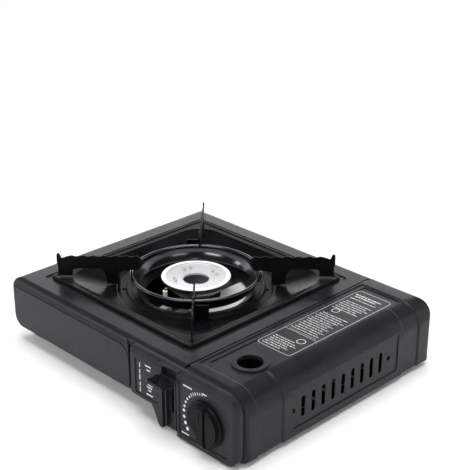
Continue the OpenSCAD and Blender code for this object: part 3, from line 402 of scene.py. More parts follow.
def second_finish(obj, look, test):
    """Gives the picked faces a finish of their own."""
    obj.data.materials.append(FINISHES[look])
    pick(obj, test)
    obj.active_material_index = len(obj.data.materials) - 1
    bpy.ops.object.material_slot_assign()
    close_edit()


def finish_piece(obj, body, slot, nodes=(), look=None, smooth=32):
    """Shades a finished piece, gives it its slot's finish or another look, and lets it ride on its body."""
    take(obj)
    bpy.ops.object.shade_smooth_by_angle(angle=math.radians(smooth))
    apply_modifier(obj, "WEIGHTED_NORMAL", keep_sharp=True, weight=60)
    obj.data.materials.clear()
    obj.data.materials.append(FINISHES[look or slot])
    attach(obj, body)
    if nodes:
        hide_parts(*nodes)


# ---- finishes ----

FINISHES = {}
COOL = (0.91, 0.90, 1.0, 1)
WHITE = (1, 1, 1, 1)


def set_values(node, values):
    """Sets a shader node's even values by the names of its sockets."""
    for key, value in values.items():
        node.inputs[key.replace("_", " ")].default_value = value


def add_node(material, kind, *sources, **values):
    """Adds a shader node, feeds its first sockets from the sources and sets its even values."""
    tree = material.node_tree
    node = tree.nodes.new("ShaderNode" + kind)
    for source, socket in zip(sources, node.inputs):
        tree.links.new(source, socket)
    set_values(node, values)
    return node


def blank_finish(name, metallic, gloss=0.5, tint=WHITE, **values):
    """A material, kept by its name, with its shader's even values set, and the piece's own coordinates."""
    material = bpy.data.materials.new(name)
    material.use_nodes = True
    shader = material.node_tree.nodes["Principled BSDF"]
    set_values(shader, {"Metallic": metallic, "Specular IOR Level": gloss, "Specular Tint": tint, **values})
    FINISHES[name] = material
    return material, shader, add_node(material, "TexCoord").outputs["Object"]


def noise(material, coordinates, scale, detail=3.0, stretch=(1, 1, 1)):
    """Noise on the piece's own coordinates."""
    mapping = add_node(material, "Mapping", coordinates, Scale=stretch)
    return add_node(material, "TexNoise", mapping.outputs["Vector"], Scale=scale, Detail=detail).outputs["Fac"]


def vary_colour(material, shader, factor, low, high):
    """Base colour that wanders between two colours."""
    ramp = add_node(material, "ValToRGB", factor)
    for element, position, value in zip(ramp.color_ramp.elements, (0.35, 0.65), (low, high)):
        element.position = position
        element.color = (*value, 1)
    material.node_tree.links.new(ramp.outputs["Color"], shader.inputs["Base Color"])


def vary_roughness(material, shader, factor, low, high):
    """Roughness that wanders between two values."""
    spread = add_node(material, "MapRange", factor, From_Min=0.3, From_Max=0.7, To_Min=low, To_Max=high)
    material.node_tree.links.new(spread.outputs["Result"], shader.inputs["Roughness"])


def bump(material, shader, height, distance, strength):
    """Fine relief of a surface."""
    relief = add_node(material, "Bump", Distance=distance, Strength=strength)
    material.node_tree.links.new(height, relief.inputs["Height"])
    material.node_tree.links.new(relief.outputs["Normal"], shader.inputs["Normal"])


def shade(value, share):
    """A colour made darker or lighter."""
    return tuple(min(1.0, c * share) for c in value)


def grained_finish(name, value, metallic, rough, grain, depth, spread=0.12, stretch=(1, 1, 1), **surface):
    """A finish with a soft mottle and a fine grain."""
    material, shader, place = blank_finish(name, metallic, **surface)
    mottle = noise(material, place, 22.0)
    fine = noise(material, place, grain, 2.0, stretch)
    vary_colour(material, shader, mottle, shade(value, 1 - spread), shade(value, 1 + spread))
    vary_roughness(material, shader, mottle, *rough)
    bump(material, shader, fine, depth, 0.5)


def enamel_finish(name, value, rough, wave, gloss):
    """Fired enamel: glassy, with the slow waves and the faint orange peel of a dipped coat."""
    material, shader, place = blank_finish(name, 0.0, gloss, COOL)
    slow = noise(material, place, 26.0, 2.0)
    peel = noise(material, place, 420.0, 2.0)
    vary_colour(material, shader, slow, shade(value, 0.8), shade(value, 1.25))
    vary_roughness(material, shader, slow, *rough)
    faint = add_node(material, "Math", peel)
    faint.operation = "MULTIPLY"
    faint.inputs[1].default_value = 0.01
    both = add_node(material, "Math", slow, faint.outputs[0])
    bump(material, shader, both.outputs[0], wave, 0.35)


def make_finishes(colours):
    """Makes every finish of the stove."""
    plastic, metal, zinc = colours.plastic, colours.metal, colours.zinc
    grained_finish("coated_steel", colours.coat, 0.0, (0.26, 0.34), 1500, 0.00002, gloss=0.20, tint=COOL)
    enamel_finish("black_enamel", colours.enamel, (0.26, 0.32), 0.00012, 0.06)
    enamel_finish("ring_enamel", colours.enamel, (0.14, 0.20), 0.00006, 0.9)
    grained_finish("arm_enamel", shade(colours.enamel, 0.7), 0.0, (0.40, 0.50), 900, 0.00002, gloss=0.10)
    grained_finish("black_plastic", plastic, 0.0, (0.34, 0.42), 2400, 0.00004, gloss=0.16, tint=COOL)
    grained_finish("control_plastic", shade(plastic, 0.36), 0.0, (0.24, 0.32), 2400, 0.00002, gloss=0.06, tint=COOL)
    grained_finish("aluminium", metal, 0.4, (0.40, 0.52), 1300, 0.00012, 0.08)
    # A near-black copy of the plated steel: painted shade, put on the burner's port band under the rim.
    grained_finish("port_band_painted_shade", shade(zinc, 0.07), 0.5, (0.40, 0.55), 900, 0.00003)
    # A lighter copy of the cast aluminium: painted sheen for the burner rim's up-facing faces.
    grained_finish("rim_painted_sheen", shade(metal, 1.5), 0.3, (0.35, 0.45), 1300, 0.00002, 0.04)
    grained_finish("heat_plate", shade(metal, 1.1), 0.35, (0.30, 0.42), 300, 0.00003, 0.05, (1, 14, 1))
    grained_finish("zinc_steel", zinc, 1.0, (0.28, 0.42), 240, 0.00003, 0.12, (12, 1, 1))
    grained_finish("screw_steel", zinc, 1.0, (0.18, 0.28), 900, 0.00001)
    grained_finish("brass", colours.brass, 1.0, (0.22, 0.34), 900, 0.00001)
    grained_finish("ceramic", colours.ceramic, 0.0, (0.12, 0.22), 500, 0.00001, 0.04)
    grained_finish("rubber", colours.rubber, 0.0, (0.65, 0.8), 1800, 0.00004)
    grained_finish("white_ink", colours.ink, 0.0, (0.5, 0.62), 1600, 0.00001, 0.05)


# ---- casing ----

EDGE_R = 7.0
LEFT_TOP_R = 8.0
LEFT_LOW_R = 14.0
PILLOW = 2.5
RECESS_HALF = 113.4
RECESS_DEPTH = 1.2
OPENING_HALF = TRAY_HALF - 5
SLOT_X = SPLIT - 9.5
VENT_SIZE = (5, 22)
VENT_PITCH = 14.0
BACK_VENTS = 11


def rolled_bar(front, back, radius):
    """Block across the whole stove with its two long top edges rolled."""
    return prism("rolled_bar", rounded((front, -6), (back, TOP), [0, 0, radius, radius], 10), "x", -4, WIDTH + 4)


def crease_outline():
    """The groove along the front's top, which turns down beside the panel."""
    bend, outer, inner = (PANEL_LEFT - 23, TOP - 22.5), 14.8, 13.2
    foot = bend[1] - 2
    return ([(-2, TOP - 7.7)] + arc(bend, outer, 90, 0, 10) + [(bend[0] + outer, foot), (bend[0] + inner, foot)]
            + arc(bend, inner, 0, 90, 10) + [(-2, TOP - 9.3)])


def build_top_shell(sizes):
    """The casing: its front pressed out, with the tray's recess and opening, the lever's gap and the vents."""
    side = rounded((0, SHELL_BOTTOM), (SPLIT, TOP), [LEFT_LOW_R, 0, 0, LEFT_TOP_R])
    shell = prism("top_shell_pressing", side, "y", 0, DEPTH)
    keep(shell, rolled_bar(0, DEPTH, EDGE_R))
    face = rounded((1.5, SHELL_BOTTOM + 2), (PANEL_LEFT - 9, TOP), [12, 4, 12, 8])
    pressed = prism("front_pressing", face, "y", -PILLOW, 6)
    keep(pressed, rolled_bar(-PILLOW, DEPTH, EDGE_R + PILLOW))
    round_edges(pressed, 0.0018, 40, 4)
    add(shell, pressed)
    vents = prism("vent_cutter", slot_outline(50, 44, *VENT_SIZE), "y", DEPTH - 3, DEPTH + 3)
    cut(shell, prism("front_crease", crease_outline(), "y", -PILLOW - 1, -PILLOW + 0.7),
        prism("recess", filleted(square(RECESS_HALF), [6] * 4), "z", TOP - RECESS_DEPTH, TOP + 4),
        prism("opening", filleted(square(OPENING_HALF), [4] * 4), "z", SHELL_BOTTOM - 4, TOP + 4),
        block("lever_gap", (SLOT_X - 12, -3, SHELL_BOTTOM - 2), (SPLIT + 2, 2.5, TOP - 5)),
        repeat(vents, BACK_VENTS, (VENT_PITCH * MM, 0, 0)))
    tidy(shell)
    inner = OPENING_HALF + 1

    def not_pressed(p, n):
        in_opening = abs(n.z) < 0.1 and abs(p.x - BURNER[0]) < inner and abs(p.y - BURNER[1]) < inner
        in_vent = DEPTH - 3.2 < p.y < DEPTH - 0.05 and 30 < p.z < 58
        in_gap = 0.05 < p.y < 2.6 and p.x > SLOT_X - 12.1 and p.z < TOP - 4.9
        at_foot = n.z < -0.98 and p.z < SHELL_BOTTOM + 1
        return at_foot or p.x > SPLIT - 0.1 or in_opening or in_vent or in_gap

    open_faces(shell, not_pressed)
    round_edges(shell, sizes.crease / 2)
    thicken(shell, sizes.sheet)
    finish_piece(shell, "stove_body", "coated_steel", ["top_shell"])


# ---- drip tray ----

BASIN_FLOOR = TOP - 9
BASIN_Z = BASIN_FLOOR + 0.8
BASIN_R = 88.0
BASIN_STEP_R = 84.0
RIM_HALF = TRAY_HALF - 3
FLANGE_HALF = 98.5
FLANGE_R = 27.0
# Half size, corner radius and height of the loops from the rim in to the flange.
TRAY_LOOPS = ((RIM_HALF, 5, TRAY_RIM), (RIM_HALF - 1, 4.5, TRAY_RIM - 0.9), (FLANGE_HALF, FLANGE_R, TRAY_RIM - 1.0),
              (FLANGE_HALF - 1.2, FLANGE_R, TRAY_RIM - 1.7))
# Size and step in height of the loops that roll the rim over, and of those that press the basin.
RIM_ROLL = ((TRAY_HALF - 1.2, 0), (TRAY_HALF - 0.3, -0.5), (TRAY_HALF, -1.4), (TRAY_HALF, -1.5))
BASIN_RINGS = ((82.5, -1.6), (74, 0), (72.5, 1.6), (69.5, 0), (68, -1.2), (62, 0), (55, -5.8), (54, -0.3))


def rounded_square_points(half, radius, count):
    """Points at even angles on a square with round corners, round the burner."""
    points = []
    for i in range(count):
        turn = math.tau * i / count
        x, y = math.cos(turn), math.sin(turn)
        reach = half / max(abs(x), abs(y))
        core = half - radius
        if abs(x) * reach > core and abs(y) * reach > core:
            along = core * (abs(x) + abs(y))
            reach = along + math.sqrt(along * along - 2 * core * core + radius * radius)
        points.append((BURNER[0] + x * reach, BURNER[1] + y * reach))
    return points


def basin_edge_points(count):
    """The basin's edge: a circle with a small bay for the foot of each arm."""
    points = []
    for i in range(count):
        turn = 360 * i / count
        away = min(abs((turn - a + 180) % 360 - 180) for a in ARM_ANGLES.values())
        bay = 8 * math.sqrt(max(0.0, 1 - (away / 7.5) ** 2))
        radius = BASIN_R + bay
        points.append((BURNER[0] + radius * math.cos(math.radians(turn)),
                       BURNER[1] + radius * math.sin(math.radians(turn))))
    return points


def closed_loop(points, height):
    """In edit mode: draws one closed loop at a height and leaves it selected."""
    draw_line([at(x, y, height) for x, y in points + points[:1]])
    bpy.ops.mesh.remove_doubles(threshold=MM * 0.01)


def pull_rings(size, rings):
    """In edit mode: pulls the selected loop, round the burner, on to each ring's size and step in height."""
    for ring, step in rings:
        pull((0, 0, step * MM))
        bpy.ops.transform.resize(value=(ring / size, ring / size, 1), center_override=BURNER_FOOT)
        size = ring


def build_drip_tray(sizes):
    """The tray: a rolled rim, a flat flange, and pressed corners that run down to the stepped basin."""
    count = sizes.tray_points
    tray = start_piece("drip_tray_pressing")
    closed_loop(rounded_square_points(RIM_HALF, 5, count), TRAY_RIM)
    pull_rings(RIM_HALF, RIM_ROLL)
    for half, radius, height in TRAY_LOOPS:
        closed_loop(rounded_square_points(half, radius, count), height)
    closed_loop(basin_edge_points(count), BASIN_Z + 0.4)
    closed_loop(rounded_square_points(BASIN_STEP_R, BASIN_STEP_R, count), BASIN_Z)
    pull_rings(BASIN_STEP_R, BASIN_RINGS)
    face_out()
    close_edit()
    bridge(tray)
    edit(tray)
    face_out()
    close_edit()
    upwards(tray)
    round_edges(tray, 0.0005, 22, 3)
    thicken(tray, sizes.sheet)
    for name, angle in ARM_ANGLES.items():
        off = -8 if name == "right" else 8
        hole = rod("peg_hole", "z", BURNER[0] + 75, BURNER[1] + off, 2.2, BASIN_Z - 5, BASIN_Z + 5, 20)
        turn_about_burner(hole, round(angle / 45) * 45)
        combine(tray, hole, "DIFFERENCE", crossed=True)
    finish_piece(tray, "stove_body", "black_enamel", ["drip_tray"])


def bridge(tray):
    """Bridges the loops that lie next to each other from the rim down to the basin."""
    levels = [height for _, _, height in TRAY_LOOPS] + [BASIN_Z + 0.4, BASIN_Z]
    for pair in zip(levels, levels[1:]):
        edit(tray, "EDGE")
        mesh = bmesh.from_edit_mesh(tray.data)
        for edge in mesh.edges:
            heights = [v.co.z / MM for v in edge.verts]
            reach = min(math.hypot((v.co.x - LEFT) / MM - BURNER[0], (v.co.y - FRONT) / MM - BURNER[1])
                        for v in edge.verts)
            wanted = any(all(abs(h - level) < 0.02 for h in heights) for level in pair)
            edge.select_set(wanted and reach > BASIN_STEP_R - 0.2 and len(edge.link_faces) < 2)
        bmesh.update_edit_mesh(tray.data)
        bpy.ops.mesh.bridge_edge_loops()
        close_edit()


def upwards(obj):
    """Turns an open pressing so that its flat faces look up."""
    total = sum(face.normal.z * face.area for face in obj.data.polygons)
    if total < 0:
        edit(obj)
        bpy.ops.mesh.select_all(action="SELECT")
        bpy.ops.mesh.flip_normals()
        close_edit()


# ---- pan support ----

ARM_TOP = TOP + 25
ARM_REACH = 145.5
ARM_T = 1.6
ARM_LEG = 79.4
WAVE = 11.5
WAVE_START = 61.0
RING_ROLL_R = 1.9


def arm_outline():
    """Side view of an arm: reach from the burner's axis and height."""
    waves = []
    reach = WAVE_START
    while reach <= ARM_REACH - 10:
        waves.append((reach, ARM_TOP - 0.6 + 0.6 * math.cos(math.tau * (reach - WAVE_START) / WAVE)))
        reach += WAVE / 10
    horn = ARM_TOP + 2.8
    window = ARM_TOP - 14.5
    return [(57, ARM_TOP - 3.5)] + waves + [
        (ARM_REACH - 5.2, ARM_TOP - 3), (ARM_REACH - 3.6, horn - 1.6), (ARM_REACH - 2.2, horn),
        (ARM_REACH - 0.4, horn - 0.8), (ARM_REACH, horn - 3), (ARM_REACH, ARM_TOP - 9), (ARM_REACH - 1, ARM_TOP - 11),
        (ARM_REACH - 1, TRAY_RIM + 0.3), (129.2, TRAY_RIM + 0.3), (129.2, window - 2), (127.2, window), (99, window),
        (96, window - 4), (94, window - 10), (94, BASIN_FLOOR + 2.6), (87, BASIN_FLOOR + 1.2),
        (ARM_LEG, BASIN_FLOOR + 1.2), (ARM_LEG, RING_TOP - 1), (RING_OUT + 2, RING_TOP + 0.3),
        (RING_OUT - 8, RING_TOP + 0.3), (59, RING_TOP + 3)]


def build_arms(sizes):
    """The four stamped arms, each with its bent foot."""
    outline = [(BURNER[0] + r, h) for r, h in arm_outline()]
    arm = prism("arm", outline, "y", BURNER[1] - ARM_T / 2, BURNER[1] + ARM_T / 2)
    add(arm, block("foot", (BURNER[0] + ARM_LEG, BURNER[1] + ARM_T / 2 - 0.2, TOP - 7.8),
                   (BURNER[0] + ARM_LEG + ARM_T, BURNER[1] + 15, ARM_TOP - 16.5)))
    tidy(arm, 0.1)
    round_edges(arm, sizes.stamped, 40, 2)
    for name, angle in ARM_ANGLES.items():
        piece = copied(arm, f"pan_arm_{name}")
        turn_about_burner(piece, angle)
        finish_piece(piece, "pan_support", "black_enamel", [f"support_arm_{name}"], "arm_enamel")
    bpy.data.objects.remove(arm)


def build_ring(sizes):
    """The ring: a rolled rim on a wall that curves in as it goes down."""
    middle = (RING_OUT - RING_ROLL_R, RING_TOP - RING_ROLL_R)
    roll = arc(middle, RING_ROLL_R, 205, -60, 18)
    base = RING_TOP - 14.5
    wall = []
    for i in range(12):
        share = 1 - i / 12
        curve = 0.26 * share + 0.74 * share ** 2
        wall.append((roll[0][0] + (middle[0] - 8.2 - roll[0][0]) * curve, roll[0][1] + (base - roll[0][1]) * share))
    ring = turned("pan_ring_rolled", wall + roll + [(middle[0] - 7.2, base - 0.3)], sizes.round_steps)
    finish_piece(ring, "pan_support", "black_enamel", ["support_ring"], "ring_enamel", 50)


# ---- burner ----

PORTS = 76
POSTS = (152, 172, 64.6, 84.5, 236, 248)
POSTS_R = 23
RIM_IN = 32


def off_axis(place):
    """How far a place is from the burner's axis."""
    return (place.xy - Vector(BURNER)).length


def build_burner(sizes):
    """The burner head with its rim, dished middle, flame ports and posts."""
    h = HEAD_TOP
    r = HEAD_RADIUS
    floor = max(h - 9.6, HEAD_LOW.z / MM + 0.1)
    profile = [(RIM_IN, h), (r - 1.4, h)] + arc((r - 0.9, h - 0.9), 0.9, 80, 0, 4) + [
        (r, h - 2.4), (r - 1, h - 5.8), (30, h - 6.6), (30, h - 5.4), (r - 3.4, h - 4.2), (30.4, h - 3.2),
        (15, floor + 0.9), (15, floor), (13.8, floor), (13.8, floor + 2.2), (14.6, floor + 2.5), (31, h - 1.5),
        (31.6, h - 1.1), (31.8, h - 0.3)]
    head = turned("burner_head_casting", profile, sizes.round_steps)
    tooth = block("port", (BURNER[0] + r - 3, BURNER[1] - 0.7, h - 6), (BURNER[0] + r + 1, BURNER[1] + 0.7, h - 3.4))
    ports = start_piece("port_row")
    close_edit()
    for i in range(PORTS):
        one = copied(tooth, "one_port")
        turn_about_burner(one, 360 * i / PORTS)
        take(ports)
        one.select_set(True)
        bpy.ops.object.join()
    bpy.data.objects.remove(tooth)
    cut(head, ports)
    side = [(0, h - 4.6), (2.1, h - 4.6), (1.8, h - 0.8), (1.5, h - 0.6), (0.9, h - 0.6), (0.9, h - 2.6), (0, h - 2.6)]
    for angle in POSTS:
        post = turned("post", side, 24, (BURNER[0] + POSTS_R, BURNER[1], 0))
        turn_about_burner(post, angle)
        add(head, post)
    round_edges(head, 0.00015, 50, 1)
    finish_piece(head, "stove_body", "aluminium", ["burner_head"], smooth=40)
    # Painted sheen: the rim's faces that look up get the lighter aluminium.
    second_finish(head, "rim_painted_sheen", lambda p, n: off_axis(p) > RIM_IN - 0.1 and n.z > 0.3)
    # Painted shade: the sides and undersides below the rim, round the flame ports, get the near-black finish.
    second_finish(head, "port_band_painted_shade", lambda p, n: p.z < h - 1.6 and off_axis(p) > r - 4.5 and n.z < 0.5)


# ---- cartridge lid ----

LID_DROP = 1.2
LID_R = 24.0
HINGE_X = SPLIT + 2.8
HINGE_Z = TOP - 2.4
BEADS = (15.5, 21.5)
BEAD_SLOPE = 2.4
VENT_ZONE = (49.0, 224.0)
VENT_FIRST = 76.3
VENT_Z = SKIRT_Z + 27
VENTS = 9
SIGHT = (299.5, 51.0)
SIGHT_R = 12.5
FIELD_DEPTH = 0.8


def lid_band(name, left, drop, front, back, slopes=(0, 0)):
    """A band of the lid: its cross-section, lower by drop, from front to back, with sloping ends."""
    outline = rounded((left, SKIRT_Z), (WIDTH - drop, TOP - drop), [0, 0, LID_R - drop, 0], 14)
    band = prism(name, outline, "y", front + slopes[0], back - slopes[1])
    depth = LID_DROP + 0.15
    shrink = ((WIDTH - depth - left) / (WIDTH - left), 1, (TOP - depth - SKIRT_Z) / (TOP - SKIRT_Z))
    for way, slope in zip((-1, 1), slopes):
        if slope == 0:
            continue
        pick(band, lambda p, n: n.y * way > 0.9)
        pull((0, way * slope * MM, 0))
        bpy.ops.transform.resize(value=shrink, center_override=at(left, 0, SKIRT_Z))
        close_edit()
    return band


def build_lid(sizes):
    """The lid: raised bands at its ends and vents, the label's field, the sight hole and the hinge's roll."""
    lid = lid_band("cartridge_lid_pressing", HINGE_X, LID_DROP, LID_FRONT, LID_BACK)
    lap = BEAD_SLOPE / 2
    add(lid, lid_band("front_bead", HINGE_X, 0, LID_FRONT, LID_FRONT + BEADS[0] + lap, (0, BEAD_SLOPE)),
        lid_band("back_bead", HINGE_X, 0, LID_BACK - BEADS[1] - lap, LID_BACK, (BEAD_SLOPE, 0)),
        lid_band("vent_band", WIDTH - LID_R, 0, VENT_ZONE[0] - lap, VENT_ZONE[1] + lap, (BEAD_SLOPE, BEAD_SLOPE)))
    ends = rounded((LID_FRONT, 0), (LID_BACK, TOP), [0, 0, 6, 6], 6)
    plan = rounded((SPLIT - 2, LID_FRONT), (WIDTH, LID_BACK), [0, 6, 6, 0], 6)
    keep(lid, prism("end_rounds", ends, "x", SPLIT - 2, WIDTH + 1), prism("plan_rounds", plan, "z", 0, TOP + 1))
    field = rounded((HINGE_X + 6.2, 24), (WIDTH - LID_R + 0.8, 246), [3] * 4, 4)
    cut(lid, prism("label_field", field, "z", TOP - LID_DROP - FIELD_DEPTH, TOP + 1))
    add(lid, rod("sight_boss", "z", *SIGHT, SIGHT_R + 5.2, TOP - LID_DROP - 2, TOP - 0.6, 64))
    sill = rounded((VENT_ZONE[0] + 12, SKIRT_Z + 8), (VENT_ZONE[1] - 9, 58), [3] * 4, 4)
    window = rounded((HINGE_X - 3, SKIRT_Z - 3), (WIDTH - 8.2, TOP - 8.2), [0, 0, LID_R - 7, 0])
    vents = prism("vent_cutter", slot_outline(VENT_FIRST, VENT_Z, *VENT_SIZE), "x", WIDTH - 4, WIDTH + 1)
    cut(lid, prism("vent_sill", sill, "x", WIDTH - 0.9, WIDTH + 2),
        rod("sight_hole", "z", *SIGHT, SIGHT_R, TOP - 6, TOP + 1, 64),
        prism("front_window", window, "y", LID_FRONT - 1, LID_FRONT + 2),
        prism("back_window", window, "y", LID_BACK - 2, LID_BACK + 1),
        repeat(vents, VENTS, (0, VENT_PITCH * MM, 0)))
    for y in (VENT_FIRST - 13, VENT_FIRST + (VENTS - 1) * VENT_PITCH + 12.4):
        cut(lid, rod("end_hole", "x", y, VENT_Z, 2.5, WIDTH - 4, WIDTH + 1, 24))
    tidy(lid)

    def not_pressed(p, n):
        in_vent = WIDTH - 4.1 < p.x < WIDTH - 1.2 and 18 < p.z < 50 and 55 < p.y < 210
        in_sight = (p.xy - Vector(SIGHT)).length < SIGHT_R + 0.2 and p.z < TOP - 1
        at_end = LID_FRONT + 0.1 < p.y < LID_FRONT + 2.2 or LID_BACK - 2.2 < p.y < LID_BACK - 0.1
        in_window = at_end and p.x < WIDTH - 8 and p.z < TOP - 8
        at_foot = n.z < -0.98 and p.z < SKIRT_Z + 1
        return at_foot or p.x < HINGE_X + 0.1 or in_vent or in_sight or in_window

    open_faces(lid, not_pressed)
    round_edges(lid, sizes.crease * 0.7, 22, 3)
    thicken(lid, sizes.sheet)
    finish_piece(lid, "lid", "coated_steel", ["cartridge_lid"])
    roll = rod("lid_hinge_roll", "y", HINGE_X, HINGE_Z, 2.4, 8, DEPTH - 8, 24)
    for y in (8.5, DEPTH - 8.5):
        cut(roll, block("ear_notch", (SPLIT - 1, y - 1.3, HINGE_Z - 4), (HINGE_X + 3.4, y + 1.3, TOP + 1)))
    finish_piece(roll, "lid", "coated_steel")
    side = [(SIGHT_R, TOP - 4.7), (SIGHT_R + 0.8, TOP - 4.7), (SIGHT_R + 0.8, TOP - 1.0), (SIGHT_R + 0.4, TOP - 0.8),
            (SIGHT_R, TOP - 1.1)]
    finish_piece(turned("sight_collar", side, 64, (*SIGHT, 0)), "lid", "coated_steel")


# ---- control panel ----

PANEL_STEP_Z = 22.0
PANEL_STEP = (PANEL_LEFT + 29.5, PANEL_LEFT + 43.5)
CHANNEL = (SLOT_X - 10, SLOT_X + 10)
WINDOW_Z = (TOP - 12, TOP - 3)
LABEL_X = (PANEL_LEFT + 8, CHANNEL[0] - 6)
DIAL_X = (CHANNEL[1] + 3, PANEL_RIGHT - 9)
DIAL_Z = (8.0, TOP - 8)
PRINT_DEPTH = 0.9


def panel_outline(inset):
    """Front view of the panel, whose lower edge drops in a soft step down to the knob's part."""
    low, high = PANEL_BOTTOM + inset, PANEL_TOP - inset
    left, right = PANEL_LEFT + inset, PANEL_RIGHT - inset
    floor = PANEL_STEP_Z + inset
    step = [(left, floor + 4), (left + 1.6, floor + 1.4), (left + 5.5, floor), (PANEL_STEP[0] + inset, floor)]
    for i in range(1, 20):
        share = i / 20
        step.append((step[3][0] + (PANEL_STEP[1] - PANEL_STEP[0]) * share,
                     PANEL_STEP_Z + inset - (PANEL_STEP_Z - PANEL_BOTTOM) * (1 - math.cos(math.pi * share)) / 2))
    right_side = rounded((PANEL_STEP[1] + inset, low), (right, high), [0, 12 - inset, 15 - inset, 0], 10)
    left_top = rounded((left, PANEL_STEP_Z), (right, high), [0, 0, 0, 3 - inset], 4)[3:]
    return step + right_side[:-1] + left_top


def panel_block(name, inset):
    """The panel's outer form, or its hollow when it is inset by the wall."""
    solid = prism(name, panel_outline(inset), "y", PANEL_FRONT + inset, 1 if inset else 0)
    across = rounded((PANEL_FRONT + inset, -1), (6, PANEL_TOP - inset), [0, 0, 0, 7 - inset], 10)
    plan = rounded((PANEL_LEFT + inset, PANEL_FRONT + inset), (PANEL_RIGHT - inset, 6), [3 - inset, 6 - inset, 0, 0])
    keep(solid, prism("top_roll", across, "x", PANEL_LEFT - 1, PANEL_RIGHT + 1),
         prism("end_rolls", plan, "z", -1, TOP + 1))
    return solid


def build_panel(sizes):
    """The panel: a hollow moulding with the lever's channel and window and the sunk grounds of its marks."""
    panel = panel_block("control_panel_moulding", 0)
    cut(panel, panel_block("hollow", 2))
    add(panel, block("channel_back", (CHANNEL[0] - 2, PANEL_FRONT + 1, PANEL_BOTTOM + 2),
                     (CHANNEL[1] + 2, PANEL_FRONT + 7, WINDOW_Z[1] + 2)))
    label = rounded((LABEL_X[0], PANEL_STEP_Z + 3), (LABEL_X[1], TOP - 9), [2] * 4, 4)
    dial = rounded((DIAL_X[0], DIAL_Z[0]), (DIAL_X[1], DIAL_Z[1]), [2, 6, 9, 2], 6)
    y0 = PANEL_FRONT
    cut(panel, block("channel", (CHANNEL[0], y0 - 1, -1), (CHANNEL[1], y0 + 5, WINDOW_Z[0] - 2)),
        block("window", (CHANNEL[0], y0 - 1, WINDOW_Z[0]), (CHANNEL[1], y0 + 5, WINDOW_Z[1])),
        prism("lever_slot", slot_outline(SLOT_X, 40, 5, 38), "y", y0 - 6, 4),
        rod("spindle_hole", "y", KNOB_X, KNOB_Z, 7.5, y0 - 3, 5),
        prism("label_ground", label, "y", y0 - 1, y0 + PRINT_DEPTH),
        prism("dial_ground", dial, "y", y0 - 1, y0 + PRINT_DEPTH))
    for x in (SLOT_X - 6.5, SLOT_X + 6.5):
        add(panel, block("channel_rib", (x - 0.9, y0 + 1.2, PANEL_BOTTOM + 4), (x + 0.9, y0 + 5.4, WINDOW_Z[0] - 1)))
    tidy(panel, 0.2)
    round_edges(panel, sizes.moulded, 30, 3)
    finish_piece(panel, "stove_body", "black_plastic", ["control_panel"])
    build_panel_inside()


def build_panel_inside():
    """The screw bosses and the skirt that reach back from the panel into the bay."""
    left, right, top = HINGE_X + 3, WIDTH - 9, TOP - 9
    skirt = prism("panel_skirt", rounded((left, 9), (right, top), [2, 6, 16, 2]), "y", -1, 7.7)
    cut(skirt, prism("skirt_hollow", rounded((left + 2, 11), (right - 2, top - 2), [1, 4, 14, 1]), "y", -2, 9))
    for x, z in ((SPLIT + 8.8, 22), (SPLIT + 8.8, 56), (WIDTH - 15, 18)):
        boss = rod("boss", "y", x, z, 3.6, PANEL_FRONT + 1.5, 7.7, 24)
        cut(boss, rod("boss_hole", "y", x, z, 1.3, -2, 9, 16))
        add(skirt, boss)
    finish_piece(skirt, "stove_body", "black_plastic")


# ---- knob and lever ----

GRIP_HALF = 4.3
KNOB_BACK = PANEL_FRONT - 0.4
KNOB_AXIS = (KNOB_X, 0, KNOB_Z)
BORE_R = 3.05
HANDLE_Z = 56.0
LEVER_PIN = Vector((18, 40))
LEVER_END = Vector((-14.4, 55.2))


def knob_bar(name, front, reach, edge, left, right):
    """A bar across the knob from front to back, its front edges rounded and its ends on a circle."""
    outline = rounded((front, KNOB_Z - reach), (KNOB_BACK, KNOB_Z + reach), [edge, 0, 0, edge])
    bar = prism(name, outline, "x", KNOB_X + left, KNOB_X + right)
    keep(bar, rod("bar_round", "y", KNOB_X, KNOB_Z, reach, KNOB_FRONT - 1, KNOB_BACK + 1, 96))
    return bar


